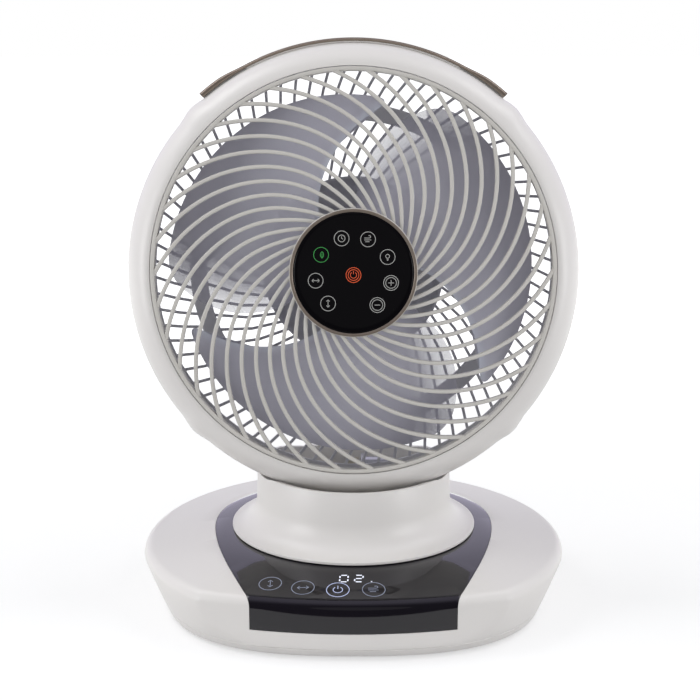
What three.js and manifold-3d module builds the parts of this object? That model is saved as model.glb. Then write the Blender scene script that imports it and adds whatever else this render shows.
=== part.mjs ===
import * as THREE from 'three';
import { mergeVertices } from 'three/addons/utils/BufferGeometryUtils.js';
import Module from 'manifold-3d';

// A table air circulator: a round head that leans back on a swivelling neck above a dish-shaped base.
// Sizes are in millimetres and angles in degrees. +Z is up, the air blows towards -Y, and the origin
// is on the floor in the middle of the base. Shapes of the base and neck are drawn about the swivel
// axis, and those of the head about the head's own centre.

const wasm = await Module();
wasm.setup();

// Shared
const clearance = 0.3;
const wall = 3;
const roundSteps = 48;
const smallSteps = 16;
const tolerance = 0.04;

// Base dish
const padHeight = 2;
const padRadius = 9;
const padInsetX = 64;
const padInsetY = 77;
const baseSplitHeight = 9;
const baseRimRadius = 173.5;
const baseRimHeight = 39;
const baseEdgeRound = 8;
const baseTopHeight = 57.2;
const deckRadius = 100;
const footTuck = 21.5;
const footFrontTuck = 31.5;
const footSquareness = 2.67;
const frontFaceCut = 25.5;
const frontFaceRadius = 325;
const outlineSteps = 44;
const baseScrewInsetX = 30;
const baseScrewInsetY = 90;
const baseScrewRadius = 1.8;
const baseScrewLength = 14;
const jackHeight = 22;
const jackHalfWidth = 7;
const jackDepth = 16;
const jackPinRadius = 1;

// Power board
const powerBoardLeft = -78;
const powerBoardSetback = 105.5;
const powerBoardWidth = 52;
const powerBoardDepth = 44;
const boardMargin = 8;
const boardPostHeight = 2.6;
const coilWidth = 18;
const coilHeight = 12;
const chipWidth = 10;
const chipHeight = 3;
const capacitorRadius = 5;
const capacitorHeight = 14;

// Glossy panel let into the dish
const panelThickness = 1.7;
const baseWall = 2.6;
const panelRingRadius = 115.5;
const panelRingCentreY = 12;
const panelFrontHalfWidth = 77;
const panelLowerEdge = 22;
const panelSetback = 7;
const panelShoulder = 15;
const panelShoulderY = -108;
const panelSideY = -45;
const displayWidth = 28;
const displayDepth = 12;
const displayHeight = 7.4;
const displaySetback = 34;
const displayDrop = 2.5;
const boardWidth = 100;
const boardDepth = 28;
const boardThickness = 1.6;

// Swivel
const bossRadius = 22;
const bossDepth = 20;
const bearingWall = 6.7;
const bearingDrop = 17.2;
const panModule = 2;
const panGearTeeth = 40;
const panPinionTeeth = 10;
const panGearWidth = 6;
const panMotorRadius = 18;
const panMotorGap = 4;
const motorAxleRadius = 2.5;
const cableBoreRadius = 9;

// Neck
const flareRadius = 100.5;
const flareEdge = 2.2;
const flareRise = 24;
const neckRadius = 80;
const neckRise = 51.8;
const neckTaper = 0.7;
const neckFloorThickness = 3.2;

// Tilt hinge
const restLean = 8.3;
const tiltPivotY = 26;
const tiltPivotRise = 28.8;
const knuckleRadius = 13;
const knuckleHalfLength = 31;
const tiltPinRadius = 4;
const tiltPinReach = 10;
const cheekRadius = 14;
const cheekThickness = 6;
const cheekGap = 1.2;
const armReach = 62;
const armTop = 26;
const armDepth = 18;
const armBend = 22;
const armInset = 7;
const tiltModule = 1.5;
const tiltGearTeeth = 24;
const tiltPinionTeeth = 10;
const tiltGearWidth = 9;
const tiltMotorRadius = 12;
const tiltMotorLength = 22;
const tiltSweep = 50;

// Head shell
const headRadius = 180;
const headLift = 5;
const headCornerSwell = 2.2;
const bezelWidth = 20.8;
const bezelDepth = 34;
const bezelFront = -38;
const headRear = 34;
const headRearInset = 9.5;
const headRearRound = 24;

// Front grille
const ribCount = 38;
const ribWidth = 3;
const ribDepth = 4.6;
const ribSteps = 5;
const ribTurn = 0.64;
const ribEaseRadius = 69.4;
const ribEase = 0.0103;
const grilleRingWidth = 3.7;
const grilleRingDepth = 9;
const grilleDome = 14;
const ribPhase = 11.7;
const grilleDomePower = 1.6;
const dockRadius = 49.6;
const dockWall = 2.6;
const dockDepth = 7.6;

// Remote
const remoteSteps = 38;
const remoteThickness = 8.4;
const remoteEdgeRadius = 49;
const remoteFlange = 0.9;
const remoteTrimWidth = 2.4;
const remoteFaceThickness = 1.6;
const magnetRadius = 9;
const magnetThickness = 3;

// Rear grille
const rearFrameWidth = 4.7;
const outerBarCount = 76;
const innerBarCount = 58;
const bandOuter = 137;
const bandInner = 123;
const bandDepth = 56;
const capRadius = 77;
const capDepth = 72;
const capThickness = 3;
const rearBarWidth = 2.4;
const rearBarDepth = 2.8;

// Impeller and motor
const bladeCount = 3;
const bladeMidRadius = 70;
const bladeFrontAngle = 112.1;
const bladeFrontSweep = 0.527;
const bladeRearAngle = 206.5;
const bladeRearSweep = 0.13;
const bladeRearCurl = 0.0023;
const bladeTipGap = 15.2;
const bladeTipGrowth = 14;
const bladePitch = 36;
const bladeCamber = 6;
const bladeThickness = 2.2;
const hubRadius = 40;
const hubDepth = 30;
const hubFront = -20;
const hubEdge = 5;
const hubWall = 2.5;
const hubFloor = 8;
const spinnerRadius = 12;
const spinnerLength = 9;
const shaftRadius = 4;
const motorRadius = 36;
const motorLength = 50;
const statorRadius = 24;
const statorLength = 26;

// Handle strap
const strapThickness = 4.2;
const strapEndThickness = 6;
const strapSpread = 41;
const strapFront = -16;
const strapWidth = 38;
const gripSpread = 28;
const gripDepth = 9;

const rad = THREE.MathUtils.degToRad;
const lerp = THREE.MathUtils.lerp;
const smoothstep = THREE.MathUtils.smoothstep;

// Sizes that follow from the ones above.
const footHalfWidth = baseRimRadius - footTuck;
const footFront = baseRimRadius - footFrontTuck;
const frontFaceDistance = baseRimRadius - frontFaceCut;
const powerBoardFront = baseRimRadius - powerBoardSetback;
const displayY = displaySetback - frontFaceDistance;
const bearingHeight = baseTopHeight - bearingDrop;
const panMotorHeight = bearingHeight - panMotorGap;
const neckTopHeight = baseTopHeight + neckRise;
const tiltPivotHeight = baseTopHeight + tiltPivotRise;
const headHeight = tiltPivotHeight + headLift + headRadius;
const bezelRadius = headRadius - bezelWidth;
const headRearRadius = headRadius - headRearInset;
const strapInner = headRadius + clearance;
const gripFloor = headRadius - gripDepth;

// ---------------------------------------------------------------- solids

// Turns a closed geometry into a solid with its faces outwards.
function solid(geometry) {
  const bare = geometry.clone();
  bare.deleteAttribute('normal');
  bare.deleteAttribute('uv');
  const merged = mergeVertices(bare, 1e-4);
  const points = merged.attributes.position.array;
  const corners = merged.index.array;
  const kept = [];
  for (let i = 0; i < corners.length; i += 3) {
    const [a, b, c] = [corners[i], corners[i + 1], corners[i + 2]];
    if (a !== b && b !== c && c !== a) kept.push([a, b, c]);
  }
  const corner = (index) => new THREE.Vector3().fromArray(points, index * 3);
  let volume = 0;
  for (const [a, b, c] of kept) volume += corner(a).dot(corner(b).cross(corner(c)));
  const order = kept.map(([a, b, c]) => (volume > 0 ? [a, b, c] : [a, c, b]));
  const mesh = new wasm.Mesh({
    numProp: 3,
    vertProperties: new Float32Array(points),
    triVerts: Uint32Array.from(order.flat()),
  });
  return new wasm.Manifold(mesh);
}

function join(first, ...others) {
  return others.reduce((whole, piece) => whole.add(piece), first);
}

function cut(first, ...others) {
  return others.reduce((whole, piece) => whole.subtract(piece), first);
}

function toGeometry(manifold) {
  const mesh = manifold.getMesh();
  const geometry = new THREE.BufferGeometry();
  geometry.setAttribute('position', new THREE.BufferAttribute(mesh.vertProperties, 3));
  geometry.setIndex(new THREE.BufferAttribute(mesh.triVerts, 1));
  geometry.computeVertexNormals();
  return geometry;
}

// A closed skin through rings of points, each with as many points as the next. Its ends are fans
// from their middles, or strips straight across where the rings are thin and curved.
function loft(rings, thin = false) {
  const count = rings[0].length;
  const points = rings.flat();
  const faces = [];
  for (let level = 0; level < rings.length - 1; level += 1) {
    for (let i = 0; i < count; i += 1) {
      const low = level * count + i;
      const next = level * count + ((i + 1) % count);
      faces.push(low, next, next + count);
      faces.push(low, next + count, low + count);
    }
  }
  const lastRing = (rings.length - 1) * count;
  const middle = (ring) => {
    const total = ring.reduce((sum, point) => sum.add(point), new THREE.Vector3());
    return total.divideScalar(count);
  };
  const bottom = points.push(middle(rings[0])) - 1;
  const top = points.push(middle(rings[rings.length - 1])) - 1;
  for (let i = 0; !thin && i < count; i += 1) {
    const next = (i + 1) % count;
    faces.push(next, i, bottom);
    faces.push(lastRing + i, lastRing + next, top);
  }
  for (let i = 0; thin && i < count / 2 - 1; i += 1) {
    const facing = count - 1 - i;
    faces.push(i + 1, i, facing);
    faces.push(i + 1, facing, facing - 1);
    faces.push(lastRing + i, lastRing + i + 1, lastRing + facing);
    faces.push(lastRing + i + 1, lastRing + facing - 1, lastRing + facing);
  }
  const geometry = new THREE.BufferGeometry().setFromPoints(points);
  geometry.setIndex(faces);
  return geometry;
}

// A body turned about Z from [radius, height] points.
function turned(profile, steps = roundSteps) {
  return latheAlongY(profile, steps).rotateX(Math.PI / 2);
}

// A body turned about the fan's own axis, Y, from [radius, y] points.
function latheAlongY(profile, steps = roundSteps) {
  return new THREE.LatheGeometry(profile.map(([radius, y]) => new THREE.Vector2(radius, y)), steps);
}

function box(low, high) {
  const size = high.map((value, axis) => value - low[axis]);
  const centre = high.map((value, axis) => (value + low[axis]) / 2);
  return new THREE.BoxGeometry(...size).translate(...centre);
}

function rod(radius, bottom, top, steps = smallSteps) {
  const cylinder = new THREE.CylinderGeometry(radius, radius, top - bottom, steps);
  return cylinder.rotateX(Math.PI / 2).translate(0, 0, (top + bottom) / 2);
}

// Lays a shape drawn in X and Y into the YZ plane, with its depth along X.
const alongX = new THREE.Matrix4().makeBasis(
  new THREE.Vector3(0, 1, 0),
  new THREE.Vector3(0, 0, 1),
  new THREE.Vector3(1, 0, 0),
);

function rodAlongX(radius, left, right, steps = smallSteps) {
  return rod(radius, left, right, steps).applyMatrix4(alongX);
}

function extruded(shape, depth, curveSegments = 12) {
  return new THREE.ExtrudeGeometry(shape, { depth, bevelEnabled: false, curveSegments });
}

// A spur gear drawn about Z. A tooth is centred on the angle `turn`.
function gearShape(teeth, toothModule, turn) {
  const pressure = rad(20);
  const slack = 0.06;
  const pitch = (teeth * toothModule) / 2;
  const involuteBase = pitch * Math.cos(pressure);
  const root = pitch - 1.15 * toothModule;
  const tip = pitch + 0.8 * toothModule;
  const involute = (angle) => Math.tan(angle) - angle;
  const halfTooth = (Math.PI / (2 * teeth)) * (1 - slack) + involute(pressure);
  const halfAt = (radius) => {
    if (radius <= involuteBase) return halfTooth;
    return halfTooth - involute(Math.acos(involuteBase / radius));
  };
  const flank = [root, tip];
  const shape = new THREE.Shape();
  for (let tooth = 0; tooth < teeth; tooth += 1) {
    const middle = turn + (tooth / teeth) * 2 * Math.PI;
    const rising = flank.map((radius) => [radius, middle - halfAt(radius)]);
    const falling = flank.map((radius) => [radius, middle + halfAt(radius)]).reverse();
    for (const [radius, angle] of [...rising, ...falling]) {
      const place = [radius * Math.cos(angle), radius * Math.sin(angle)];
      if (shape.currentPoint.length() === 0) shape.moveTo(...place);
      else shape.lineTo(...place);
    }
  }
  return shape;
}

// ---------------------------------------------------------------- materials and scene graph

const plastic = (color, roughness) => ({ color, roughness, metalness: 0 });
const metal = (color, roughness) => ({ color, roughness, metalness: 1 });
const finishes = {
  shell: plastic('#dcdad6', 0.45),
  grille: plastic('#c9c8c2', 0.45),
  blade: plastic('#b9b9c2', 0.35),
  gloss: plastic('#17161a', 0.08),
  bronze: plastic('#857a6e', 0.35),
  dark: plastic('#2c2c2e', 0.6),
  board: plastic('#2f5a3c', 0.6),
  rubber: plastic('#3a3a3a', 0.9),
  gear: plastic('#e6e2d6', 0.5),
  steel: metal('#b4b6b8', 0.35),
};

// The dish is cut flat in front, so its middle lies behind the swivel axis.
const fan = new THREE.Group();
fan.name = 'air_circulator';
fan.position.y = (frontFaceDistance - baseRimRadius) / 2;

const tiltCarrier = new THREE.Group();
tiltCarrier.position.set(0, tiltPivotY, tiltPivotHeight);
fan.add(tiltCarrier);

const head = new THREE.Group();
head.position.set(0, -tiltPivotY, headHeight - tiltPivotHeight);
head.rotation.x = rad(-restLean);
tiltCarrier.add(head);

function addPart(parent, name, manifold, finish) {
  const material = new THREE.MeshStandardMaterial(finishes[finish]);
  const mesh = new THREE.Mesh(toGeometry(manifold.simplify(tolerance)), material);
  mesh.name = name;
  parent.add(mesh);
  return mesh;
}

// ---------------------------------------------------------------- base dish

// The dish is a circle at its rim and a rounded square at its foot, with a flatter front face.
function dishOutline(level) {
  const points = [];
  for (let i = 0; i < outlineSteps; i += 1) {
    const angle = (i / outlineSteps) * 2 * Math.PI;
    const across = Math.cos(angle);
    const along = Math.sin(angle);
    const depth = along < 0 ? level.front : level.width;
    const spread = Math.abs(across / level.width) ** level.power + Math.abs(along / depth) ** level.power;
    const reach = spread ** (-1 / level.power);
    const x = reach * across;
    const face = x ** 2 / (2 * frontFaceRadius) - level.face;
    points.push(new THREE.Vector3(x, Math.max(reach * along, face), level.z));
  }
  return points;
}

function dishLevel(z, inset) {
  const down = (baseRimHeight - z) / baseRimHeight;
  return {
    z,
    width: lerp(baseRimRadius, footHalfWidth, down) - inset,
    front: lerp(baseRimRadius, footFront, down) - inset,
    face: frontFaceDistance - inset,
    power: lerp(2, footSquareness, down),
  };
}

// The dish from `bottom` up, drawn in by `inset` on its walls and its top.
function dish(inset, bottom, steps = 3) {
  const levels = [dishLevel(bottom, inset), dishLevel(lerp(bottom, baseRimHeight, 0.45), inset)];
  for (let i = 0; i <= steps; i += 1) {
    const share = i / steps;
    const angle = (share * Math.PI) / 2;
    const drawnIn = inset + baseEdgeRound * (1 - Math.cos(angle));
    const rise = (baseEdgeRound + 0.5) * Math.sin(angle);
    const level = dishLevel(baseRimHeight, drawnIn);
    level.z = baseRimHeight - inset * share + rise;
    levels.push(level);
  }
  levels.push({
    z: baseTopHeight - inset,
    width: deckRadius,
    front: deckRadius,
    face: frontFaceDistance,
    power: 2,
  });
  return solid(loft(levels.map(dishOutline)));
}

// Outline of the glossy panel seen from above: a ring round the neck that narrows to the front face.
function panelPrism(grow, bottom) {
  const side = panelRingRadius + grow;
  const front = panelFrontHalfWidth + grow;
  const shape = new THREE.Shape();
  const corner = panelSetback - frontFaceDistance;
  const shoulder = front + panelShoulder;
  shape.moveTo(front, -baseRimRadius - wall);
  shape.lineTo(front, corner);
  shape.bezierCurveTo(shoulder, panelShoulderY, side, panelSideY, side, panelRingCentreY);
  shape.absarc(0, panelRingCentreY, side, 0, Math.PI, false);
  shape.bezierCurveTo(-side, panelSideY, -shoulder, panelShoulderY, -front, corner);
  shape.lineTo(-front, -baseRimRadius - wall);
  shape.closePath();
  return solid(extruded(shape, baseTopHeight + wall - bottom, 14).translate(0, 0, bottom));
}

// Height of the dish's top at a distance in front of the swivel axis.
function topAt(distance) {
  const share = (distance - deckRadius) / (frontFaceDistance - baseEdgeRound - deckRadius);
  return lerp(baseTopHeight, baseRimHeight + baseEdgeRound, share);
}

// Four places mirrored about the swivel axis, drawn in from the edges of the foot.
function corners(insetX, insetY) {
  const x = footHalfWidth - insetX;
  const y = footHalfWidth - insetY;
  return [[-x, -y], [x, -y], [x, y], [-x, y]];
}

const screwPlaces = corners(baseScrewInsetX, baseScrewInsetY);
const padPlaces = corners(padInsetX, padInsetY);
const pinionDistance = (panModule * (panGearTeeth + panPinionTeeth)) / 2;
const gearBottom = bearingHeight + clearance;
const flareBottom = baseTopHeight + 2 * clearance;
const plateFloor = padHeight + wall;
const shellBottom = baseSplitHeight + clearance;
const panelHoleRadius = deckRadius - 2 * wall;
const screwBossRadius = baseScrewRadius + wall;
const screwHeadRadius = baseScrewRadius * 2;
const displayTop = topAt(displayDepth / 2 - displayY) - displayDrop;
const boardTop = displayTop - displayHeight - clearance;
const jackDown = (baseRimHeight - jackHeight) / baseRimHeight;
const jackFace = lerp(baseRimRadius, footHalfWidth, jackDown) - 2;

function jackBox(grow) {
  const half = jackHalfWidth + grow;
  return box(
    [-half, jackFace - jackDepth - grow, jackHeight - half],
    [half, jackFace + grow, jackHeight + half],
  );
}

function makeBaseShell() {
  const recessDepth = panelThickness + clearance;
  const hollow = dish(baseWall + recessDepth, 0, 2);
  const deck = solid(rod(panelHoleRadius - clearance, 0, baseTopHeight + wall, roundSteps));
  const recess = cut(panelPrism(clearance, panelLowerEdge - clearance), dish(recessDepth, 0), deck);
  let shell = cut(dish(0, shellBottom), hollow);
  for (const [x, y] of screwPlaces) {
    const boss = solid(rod(screwBossRadius, plateFloor + clearance, baseTopHeight).translate(x, y, 0));
    shell = join(shell, boss.intersect(dish(wall / 2, 0)));
    const thread = rod(baseScrewRadius + clearance, 0, padHeight + baseScrewLength + 1);
    shell = cut(shell, solid(thread.translate(x, y, 0)));
  }
  const displayWindow = solid(box(
    [-displayWidth / 2 - 1, displayY - displayDepth / 2 - 1, boardTop],
    [displayWidth / 2 + 1, displayY + displayDepth / 2 + 1, baseTopHeight + wall],
  ));
  const bossHole = solid(rod(bossRadius + 1, 0, baseTopHeight + wall));
  const jackRoom = solid(jackBox(clearance));
  const jackMouth = solid(jackBox(clearance).translate(0, wall, 0));
  return cut(shell, recess, displayWindow, bossHole, jackRoom, jackMouth);
}

function makeControlPanel() {
  const neckHole = solid(rod(panelHoleRadius, 0, baseTopHeight + wall, roundSteps));
  return cut(dish(0, 0).intersect(panelPrism(0, panelLowerEdge)), dish(panelThickness, 0), neckHole);
}

function makeBasePlate() {
  const tray = [dishLevel(padHeight, 0), dishLevel(baseSplitHeight, 0)];
  const inside = [dishLevel(plateFloor, wall), dishLevel(2 * baseSplitHeight, wall)];
  let plate = cut(solid(loft(tray.map(dishOutline))), solid(loft(inside.map(dishOutline))));
  const column = turned([
    [bossRadius + clearance, plateFloor - 1],
    [bossRadius + bearingWall, plateFloor - 1],
    [bossRadius + bearingWall, bearingHeight],
    [bossRadius + clearance, bearingHeight],
    [bossRadius + clearance, plateFloor - 1],
  ], 32);
  plate = join(plate, solid(column));
  for (const [x, y] of boardPosts) {
    const post = rod(wall, plateFloor - 1, powerBoardBottom - clearance, 8);
    plate = join(plate, solid(post.translate(x, y, 0)));
  }
  for (const [x, y] of padPlaces) {
    plate = cut(plate, solid(rod(padRadius + clearance, 0, padHeight + 1 + clearance).translate(x, y, 0)));
  }
  for (const [x, y] of screwPlaces) {
    plate = cut(plate, solid(rod(baseScrewRadius + clearance, 0, plateFloor + 1).translate(x, y, 0)));
    plate = cut(plate, solid(rod(screwHeadRadius + clearance, 0, padHeight + 1.5).translate(x, y, 0)));
  }
  return plate;
}

const powerBoardBottom = plateFloor + boardPostHeight;
const powerBoardRight = powerBoardLeft + powerBoardWidth;
const powerBoardBack = powerBoardFront + powerBoardDepth;
const postInset = 2 * wall;
const boardPosts = [
  [powerBoardLeft + postInset, powerBoardFront + postInset],
  [powerBoardRight - postInset, powerBoardFront + postInset],
  [powerBoardRight - postInset, powerBoardBack - postInset],
  [powerBoardLeft + postInset, powerBoardBack - postInset],
];

function makePowerBoard() {
  const top = powerBoardBottom + boardThickness;
  const sunk = top - boardThickness / 2;
  const left = powerBoardLeft + boardMargin;
  const front = powerBoardFront + boardMargin;
  const right = powerBoardRight - boardMargin;
  const back = powerBoardBack - boardMargin;
  const board = box(
    [powerBoardLeft, powerBoardFront, powerBoardBottom],
    [powerBoardRight, powerBoardBack, top],
  );
  const coil = box([left, front, sunk], [left + coilWidth, front + coilWidth, top + coilHeight]);
  const chip = box([right - chipWidth, front, sunk], [right, front + chipWidth, top + chipHeight]);
  const capacitor = rod(capacitorRadius, sunk, top + capacitorHeight, 16);
  capacitor.translate(right - capacitorRadius, back - capacitorRadius, 0);
  return join(solid(board), solid(coil), solid(chip), solid(capacitor));
}

function makePowerJack() {
  const socketDepth = jackDepth - jackHalfWidth + 2;
  const socket = rod(jackHalfWidth - wall - 0.8, jackFace - socketDepth, jackFace + 1, 16);
  const pin = rod(jackPinRadius, jackFace - socketDepth - 1, jackFace - 2, 8);
  const lie = (geometry) => geometry.rotateX(-Math.PI / 2).translate(0, 0, jackHeight);
  return join(cut(solid(jackBox(0)), solid(lie(socket))), solid(lie(pin)));
}

function makeScrew() {
  const headTop = padHeight + 1.5 - clearance;
  const headBottom = padHeight;
  const shank = solid(rod(baseScrewRadius, headBottom + 0.4, padHeight + baseScrewLength, 12));
  return join(solid(rod(screwHeadRadius, headBottom, headTop, 16)), shank);
}

addPart(fan, 'base_shell', makeBaseShell(), 'shell');
addPart(fan, 'control_panel', makeControlPanel(), 'gloss');
addPart(fan, 'base_plate', makeBasePlate(), 'shell');
addPart(fan, 'power_board', makePowerBoard(), 'board');
addPart(fan, 'power_jack', makePowerJack(), 'dark');

const touchBoard = box(
  [-boardWidth / 2, displayY - boardDepth / 2, boardTop - boardThickness],
  [boardWidth / 2, displayY + boardDepth / 2, boardTop],
);
addPart(fan, 'touch_board', solid(touchBoard), 'board');
const displayModule = box(
  [-displayWidth / 2, displayY - displayDepth / 2, displayTop - displayHeight],
  [displayWidth / 2, displayY + displayDepth / 2, displayTop],
);
addPart(fan, 'led_display', solid(displayModule), 'dark');

padPlaces.forEach(([x, y], index) => {
  const pad = addPart(fan, `foot_pad_${index + 1}`, solid(rod(padRadius, 0, padHeight + 1)), 'rubber');
  pad.position.set(x, y, 0);
});
screwPlaces.forEach(([x, y], index) => {
  const screw = addPart(fan, `base_screw_${index + 1}`, makeScrew(), 'steel');
  screw.position.set(x, y, 0);
});

// ---------------------------------------------------------------- swivel drive

function makePanMotor() {
  const can = solid(rod(panMotorRadius, plateFloor + clearance, panMotorHeight));
  return cut(can, solid(rod(motorAxleRadius + clearance, panMotorHeight - 8, panMotorHeight + 1, 16)));
}

function makePanPinion() {
  const teeth = extruded(gearShape(panPinionTeeth, panModule, 0), panGearWidth + 1);
  const axle = rod(motorAxleRadius, panMotorHeight - 8 + clearance, gearBottom + 1, 16);
  return join(solid(teeth.translate(0, 0, gearBottom)), solid(axle));
}

const panMotor = addPart(fan, 'pan_motor', makePanMotor(), 'steel');
panMotor.position.y = pinionDistance;
const panPinion = addPart(fan, 'pan_pinion', makePanPinion(), 'gear');
panPinion.position.y = pinionDistance;

const panTeeth = extruded(gearShape(panGearTeeth, panModule, 0), panGearWidth).translate(0, 0, gearBottom);
const gearBore = rod(bossRadius + clearance, 0, baseTopHeight, 32);
addPart(fan, 'pan_gear', cut(solid(panTeeth), solid(gearBore)), 'gear');

// ---------------------------------------------------------------- head outlines

// Bezel, side and rear edge of the head as [radius, y], from the front lip to the back.
function headOutline(inset, steps = 5) {
  const points = [];
  for (let i = 0; i <= steps; i += 1) {
    const angle = (i / steps) * (Math.PI / 2);
    const radius = bezelRadius + (bezelWidth - inset) * Math.sin(angle);
    points.push([radius, bezelFront + bezelDepth - (bezelDepth - inset) * Math.cos(angle)]);
  }
  for (let i = 0; i < steps; i += 1) {
    const angle = (i / (steps - 1)) * (Math.PI / 2);
    const radius = headRearRadius - inset + headRearInset * Math.cos(angle);
    points.push([radius, headRear - headRearRound * (1 - Math.sin(angle))]);
  }
  return points;
}

// The shell is round, with a soft crease one facet wide swollen at each of its four corners, most
// where it is widest.
function swellCorners(geometry) {
  const place = geometry.attributes.position;
  for (let i = 0; i < place.count; i += 1) {
    const x = place.getX(i);
    const z = place.getZ(i);
    const radius = Math.hypot(x, z);
    const widest = smoothstep(radius, bezelRadius, headRadius - wall);
    const away = Math.abs(THREE.MathUtils.radToDeg(Math.atan2(Math.abs(z), Math.abs(x))) - 45);
    const corner = Math.max(0, 1 - (away * roundSteps) / 360);
    const grown = 1 + (headCornerSwell * widest * corner) / Math.max(radius, 1);
    place.setX(i, x * grown);
    place.setZ(i, z * grown);
  }
  return geometry;
}

function headBlank(inset) {
  const outline = headOutline(inset);
  const first = outline[0];
  const last = outline[outline.length - 1];
  return swellCorners(latheAlongY([[0, first[1]], ...outline, [0, last[1]]]));
}

// A sector of a ring about the fan's axis, centred on the top of the head.
function topSector(inner, outer, spread, front, rear) {
  const shape = new THREE.Shape();
  const start = rad(90 - spread);
  const end = rad(90 + spread);
  shape.absarc(0, 0, outer, start, end, false);
  shape.absarc(0, 0, inner, end, start, true);
  shape.closePath();
  return solid(extruded(shape, rear - front, 18).rotateX(Math.PI / 2).translate(0, rear, 0));
}

// ---------------------------------------------------------------- neck

const inHead = new THREE.Matrix4().makeRotationX(rad(-restLean)).setPosition(0, 0, headHeight);
const aboutPivot = (lean) => new THREE.Matrix4()
  .makeTranslation(0, tiltPivotY, tiltPivotHeight)
  .multiply(new THREE.Matrix4().makeRotationX(rad(-lean)))
  .multiply(new THREE.Matrix4().makeTranslation(0, -tiltPivotY, -tiltPivotHeight));

// The room that the head needs as it leans back, with a running gap round it.
function headRoom(lean) {
  const gap = 2.2;
  const outline = [
    [0, bezelFront - grilleDome],
    ...headOutline(-gap, 4),
    [headRearRadius + gap, headRear + gap],
    [bandOuter + gap, bandDepth + rearBarDepth + gap],
    [0, capDepth + capThickness + gap],
  ];
  const room = swellCorners(latheAlongY(outline));
  return solid(room.applyMatrix4(inHead).applyMatrix4(aboutPivot(lean)));
}

function makeNeckShell() {
  const profile = [[bossRadius, flareBottom], [bossRadius, bossDepth], [bossRadius - wall, bossDepth]];
  const floor = flareBottom + neckFloorThickness;
  profile.push([bossRadius - wall, flareBottom], [cableBoreRadius, flareBottom], [cableBoreRadius, floor]);
  profile.push([neckRadius - wall, floor], [neckRadius - neckTaper - wall, neckTopHeight]);
  profile.push([neckRadius - neckTaper, neckTopHeight]);
  const flareTop = flareBottom + flareEdge;
  for (let i = 4; i >= 0; i -= 1) {
    const angle = (i / 4) * (Math.PI / 2);
    const reach = flareRadius - neckRadius;
    profile.push([flareRadius - reach * Math.sin(angle), flareTop + flareRise * (1 - Math.cos(angle))]);
  }
  profile.push([flareRadius, flareBottom], profile[0]);
  const shell = solid(turned(profile));
  return cut(shell, headRoom(0), headRoom(10), headRoom(tiltSweep));
}

const neckFloor = flareBottom + neckFloorThickness;
const cheekInner = knuckleHalfLength + cheekGap;
const cheekOuter = cheekInner + cheekThickness;
const tiltPinionDistance = (tiltModule * (tiltGearTeeth + tiltPinionTeeth)) / 2;
const motorPlateLeft = tiltGearWidth / 2 + 2;
const motorPlateRight = motorPlateLeft + wall;
const tiltMotorY = tiltPivotY + tiltPinionDistance;

function makeTiltFrame() {
  const base = neckFloor + clearance;
  const foot = box(
    [-cheekOuter, tiltPivotY - cheekRadius, base],
    [cheekOuter, tiltMotorY + tiltMotorRadius, base + wall],
  );
  let frame = solid(foot);
  for (const side of [-1, 1]) {
    const [left, right] = side < 0 ? [-cheekOuter, -cheekInner] : [cheekInner, cheekOuter];
    const disc = rodAlongX(cheekRadius, left, right).translate(0, tiltPivotY, tiltPivotHeight);
    const post = box(
      [left, tiltPivotY - cheekRadius, base],
      [right, tiltPivotY + cheekRadius, tiltPivotHeight],
    );
    const bore = rodAlongX(tiltPinRadius + clearance, left - 1, right + 1);
    bore.translate(0, tiltPivotY, tiltPivotHeight);
    frame = cut(join(frame, solid(post), solid(disc)), solid(bore));
  }
  const plateLow = [motorPlateLeft, tiltMotorY - tiltMotorRadius, base];
  const plateHigh = [motorPlateRight, tiltMotorY + tiltMotorRadius, tiltPivotHeight + tiltMotorRadius];
  const axleHole = rodAlongX(motorAxleRadius + clearance, motorPlateLeft - 1, motorPlateRight + 1, 16);
  frame = join(frame, solid(box(plateLow, plateHigh)));
  return cut(frame, solid(axleHole.translate(0, tiltMotorY, tiltPivotHeight)));
}

function makeTiltMotor() {
  const left = motorPlateRight + clearance;
  const can = solid(rodAlongX(tiltMotorRadius, left, left + tiltMotorLength));
  return cut(can, solid(rodAlongX(motorAxleRadius + clearance, left - 1, left + 8, 16)));
}

function makeTiltPinion() {
  const outline = gearShape(tiltPinionTeeth, tiltModule, Math.PI / tiltPinionTeeth);
  const teeth = extruded(outline, tiltGearWidth + 1);
  const axle = rodAlongX(motorAxleRadius, 0, motorPlateRight + 8 - clearance, 16);
  return join(solid(teeth.translate(0, 0, -tiltGearWidth / 2 - 0.5).applyMatrix4(alongX)), solid(axle));
}

addPart(fan, 'neck_shell', makeNeckShell(), 'shell');
addPart(fan, 'tilt_frame', makeTiltFrame(), 'dark');
const tiltMotor = addPart(fan, 'tilt_motor', makeTiltMotor(), 'steel');
tiltMotor.position.set(0, tiltMotorY, tiltPivotHeight);
const tiltPinion = addPart(fan, 'tilt_pinion', makeTiltPinion(), 'gear');
tiltPinion.position.set(0, tiltMotorY, tiltPivotHeight);

for (const [name, side] of [['tilt_pin_left', -1], ['tilt_pin_right', 1]]) {
  const pin = solid(rodAlongX(tiltPinRadius, knuckleHalfLength - tiltPinReach + clearance, cheekOuter));
  const mesh = addPart(fan, name, pin, 'steel');
  mesh.position.set(0, tiltPivotY, tiltPivotHeight);
  if (side < 0) mesh.rotation.z = Math.PI;
}

// ---------------------------------------------------------------- knuckle under the head

const knuckleSlot = tiltGearWidth / 2 + 1.6;

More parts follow.
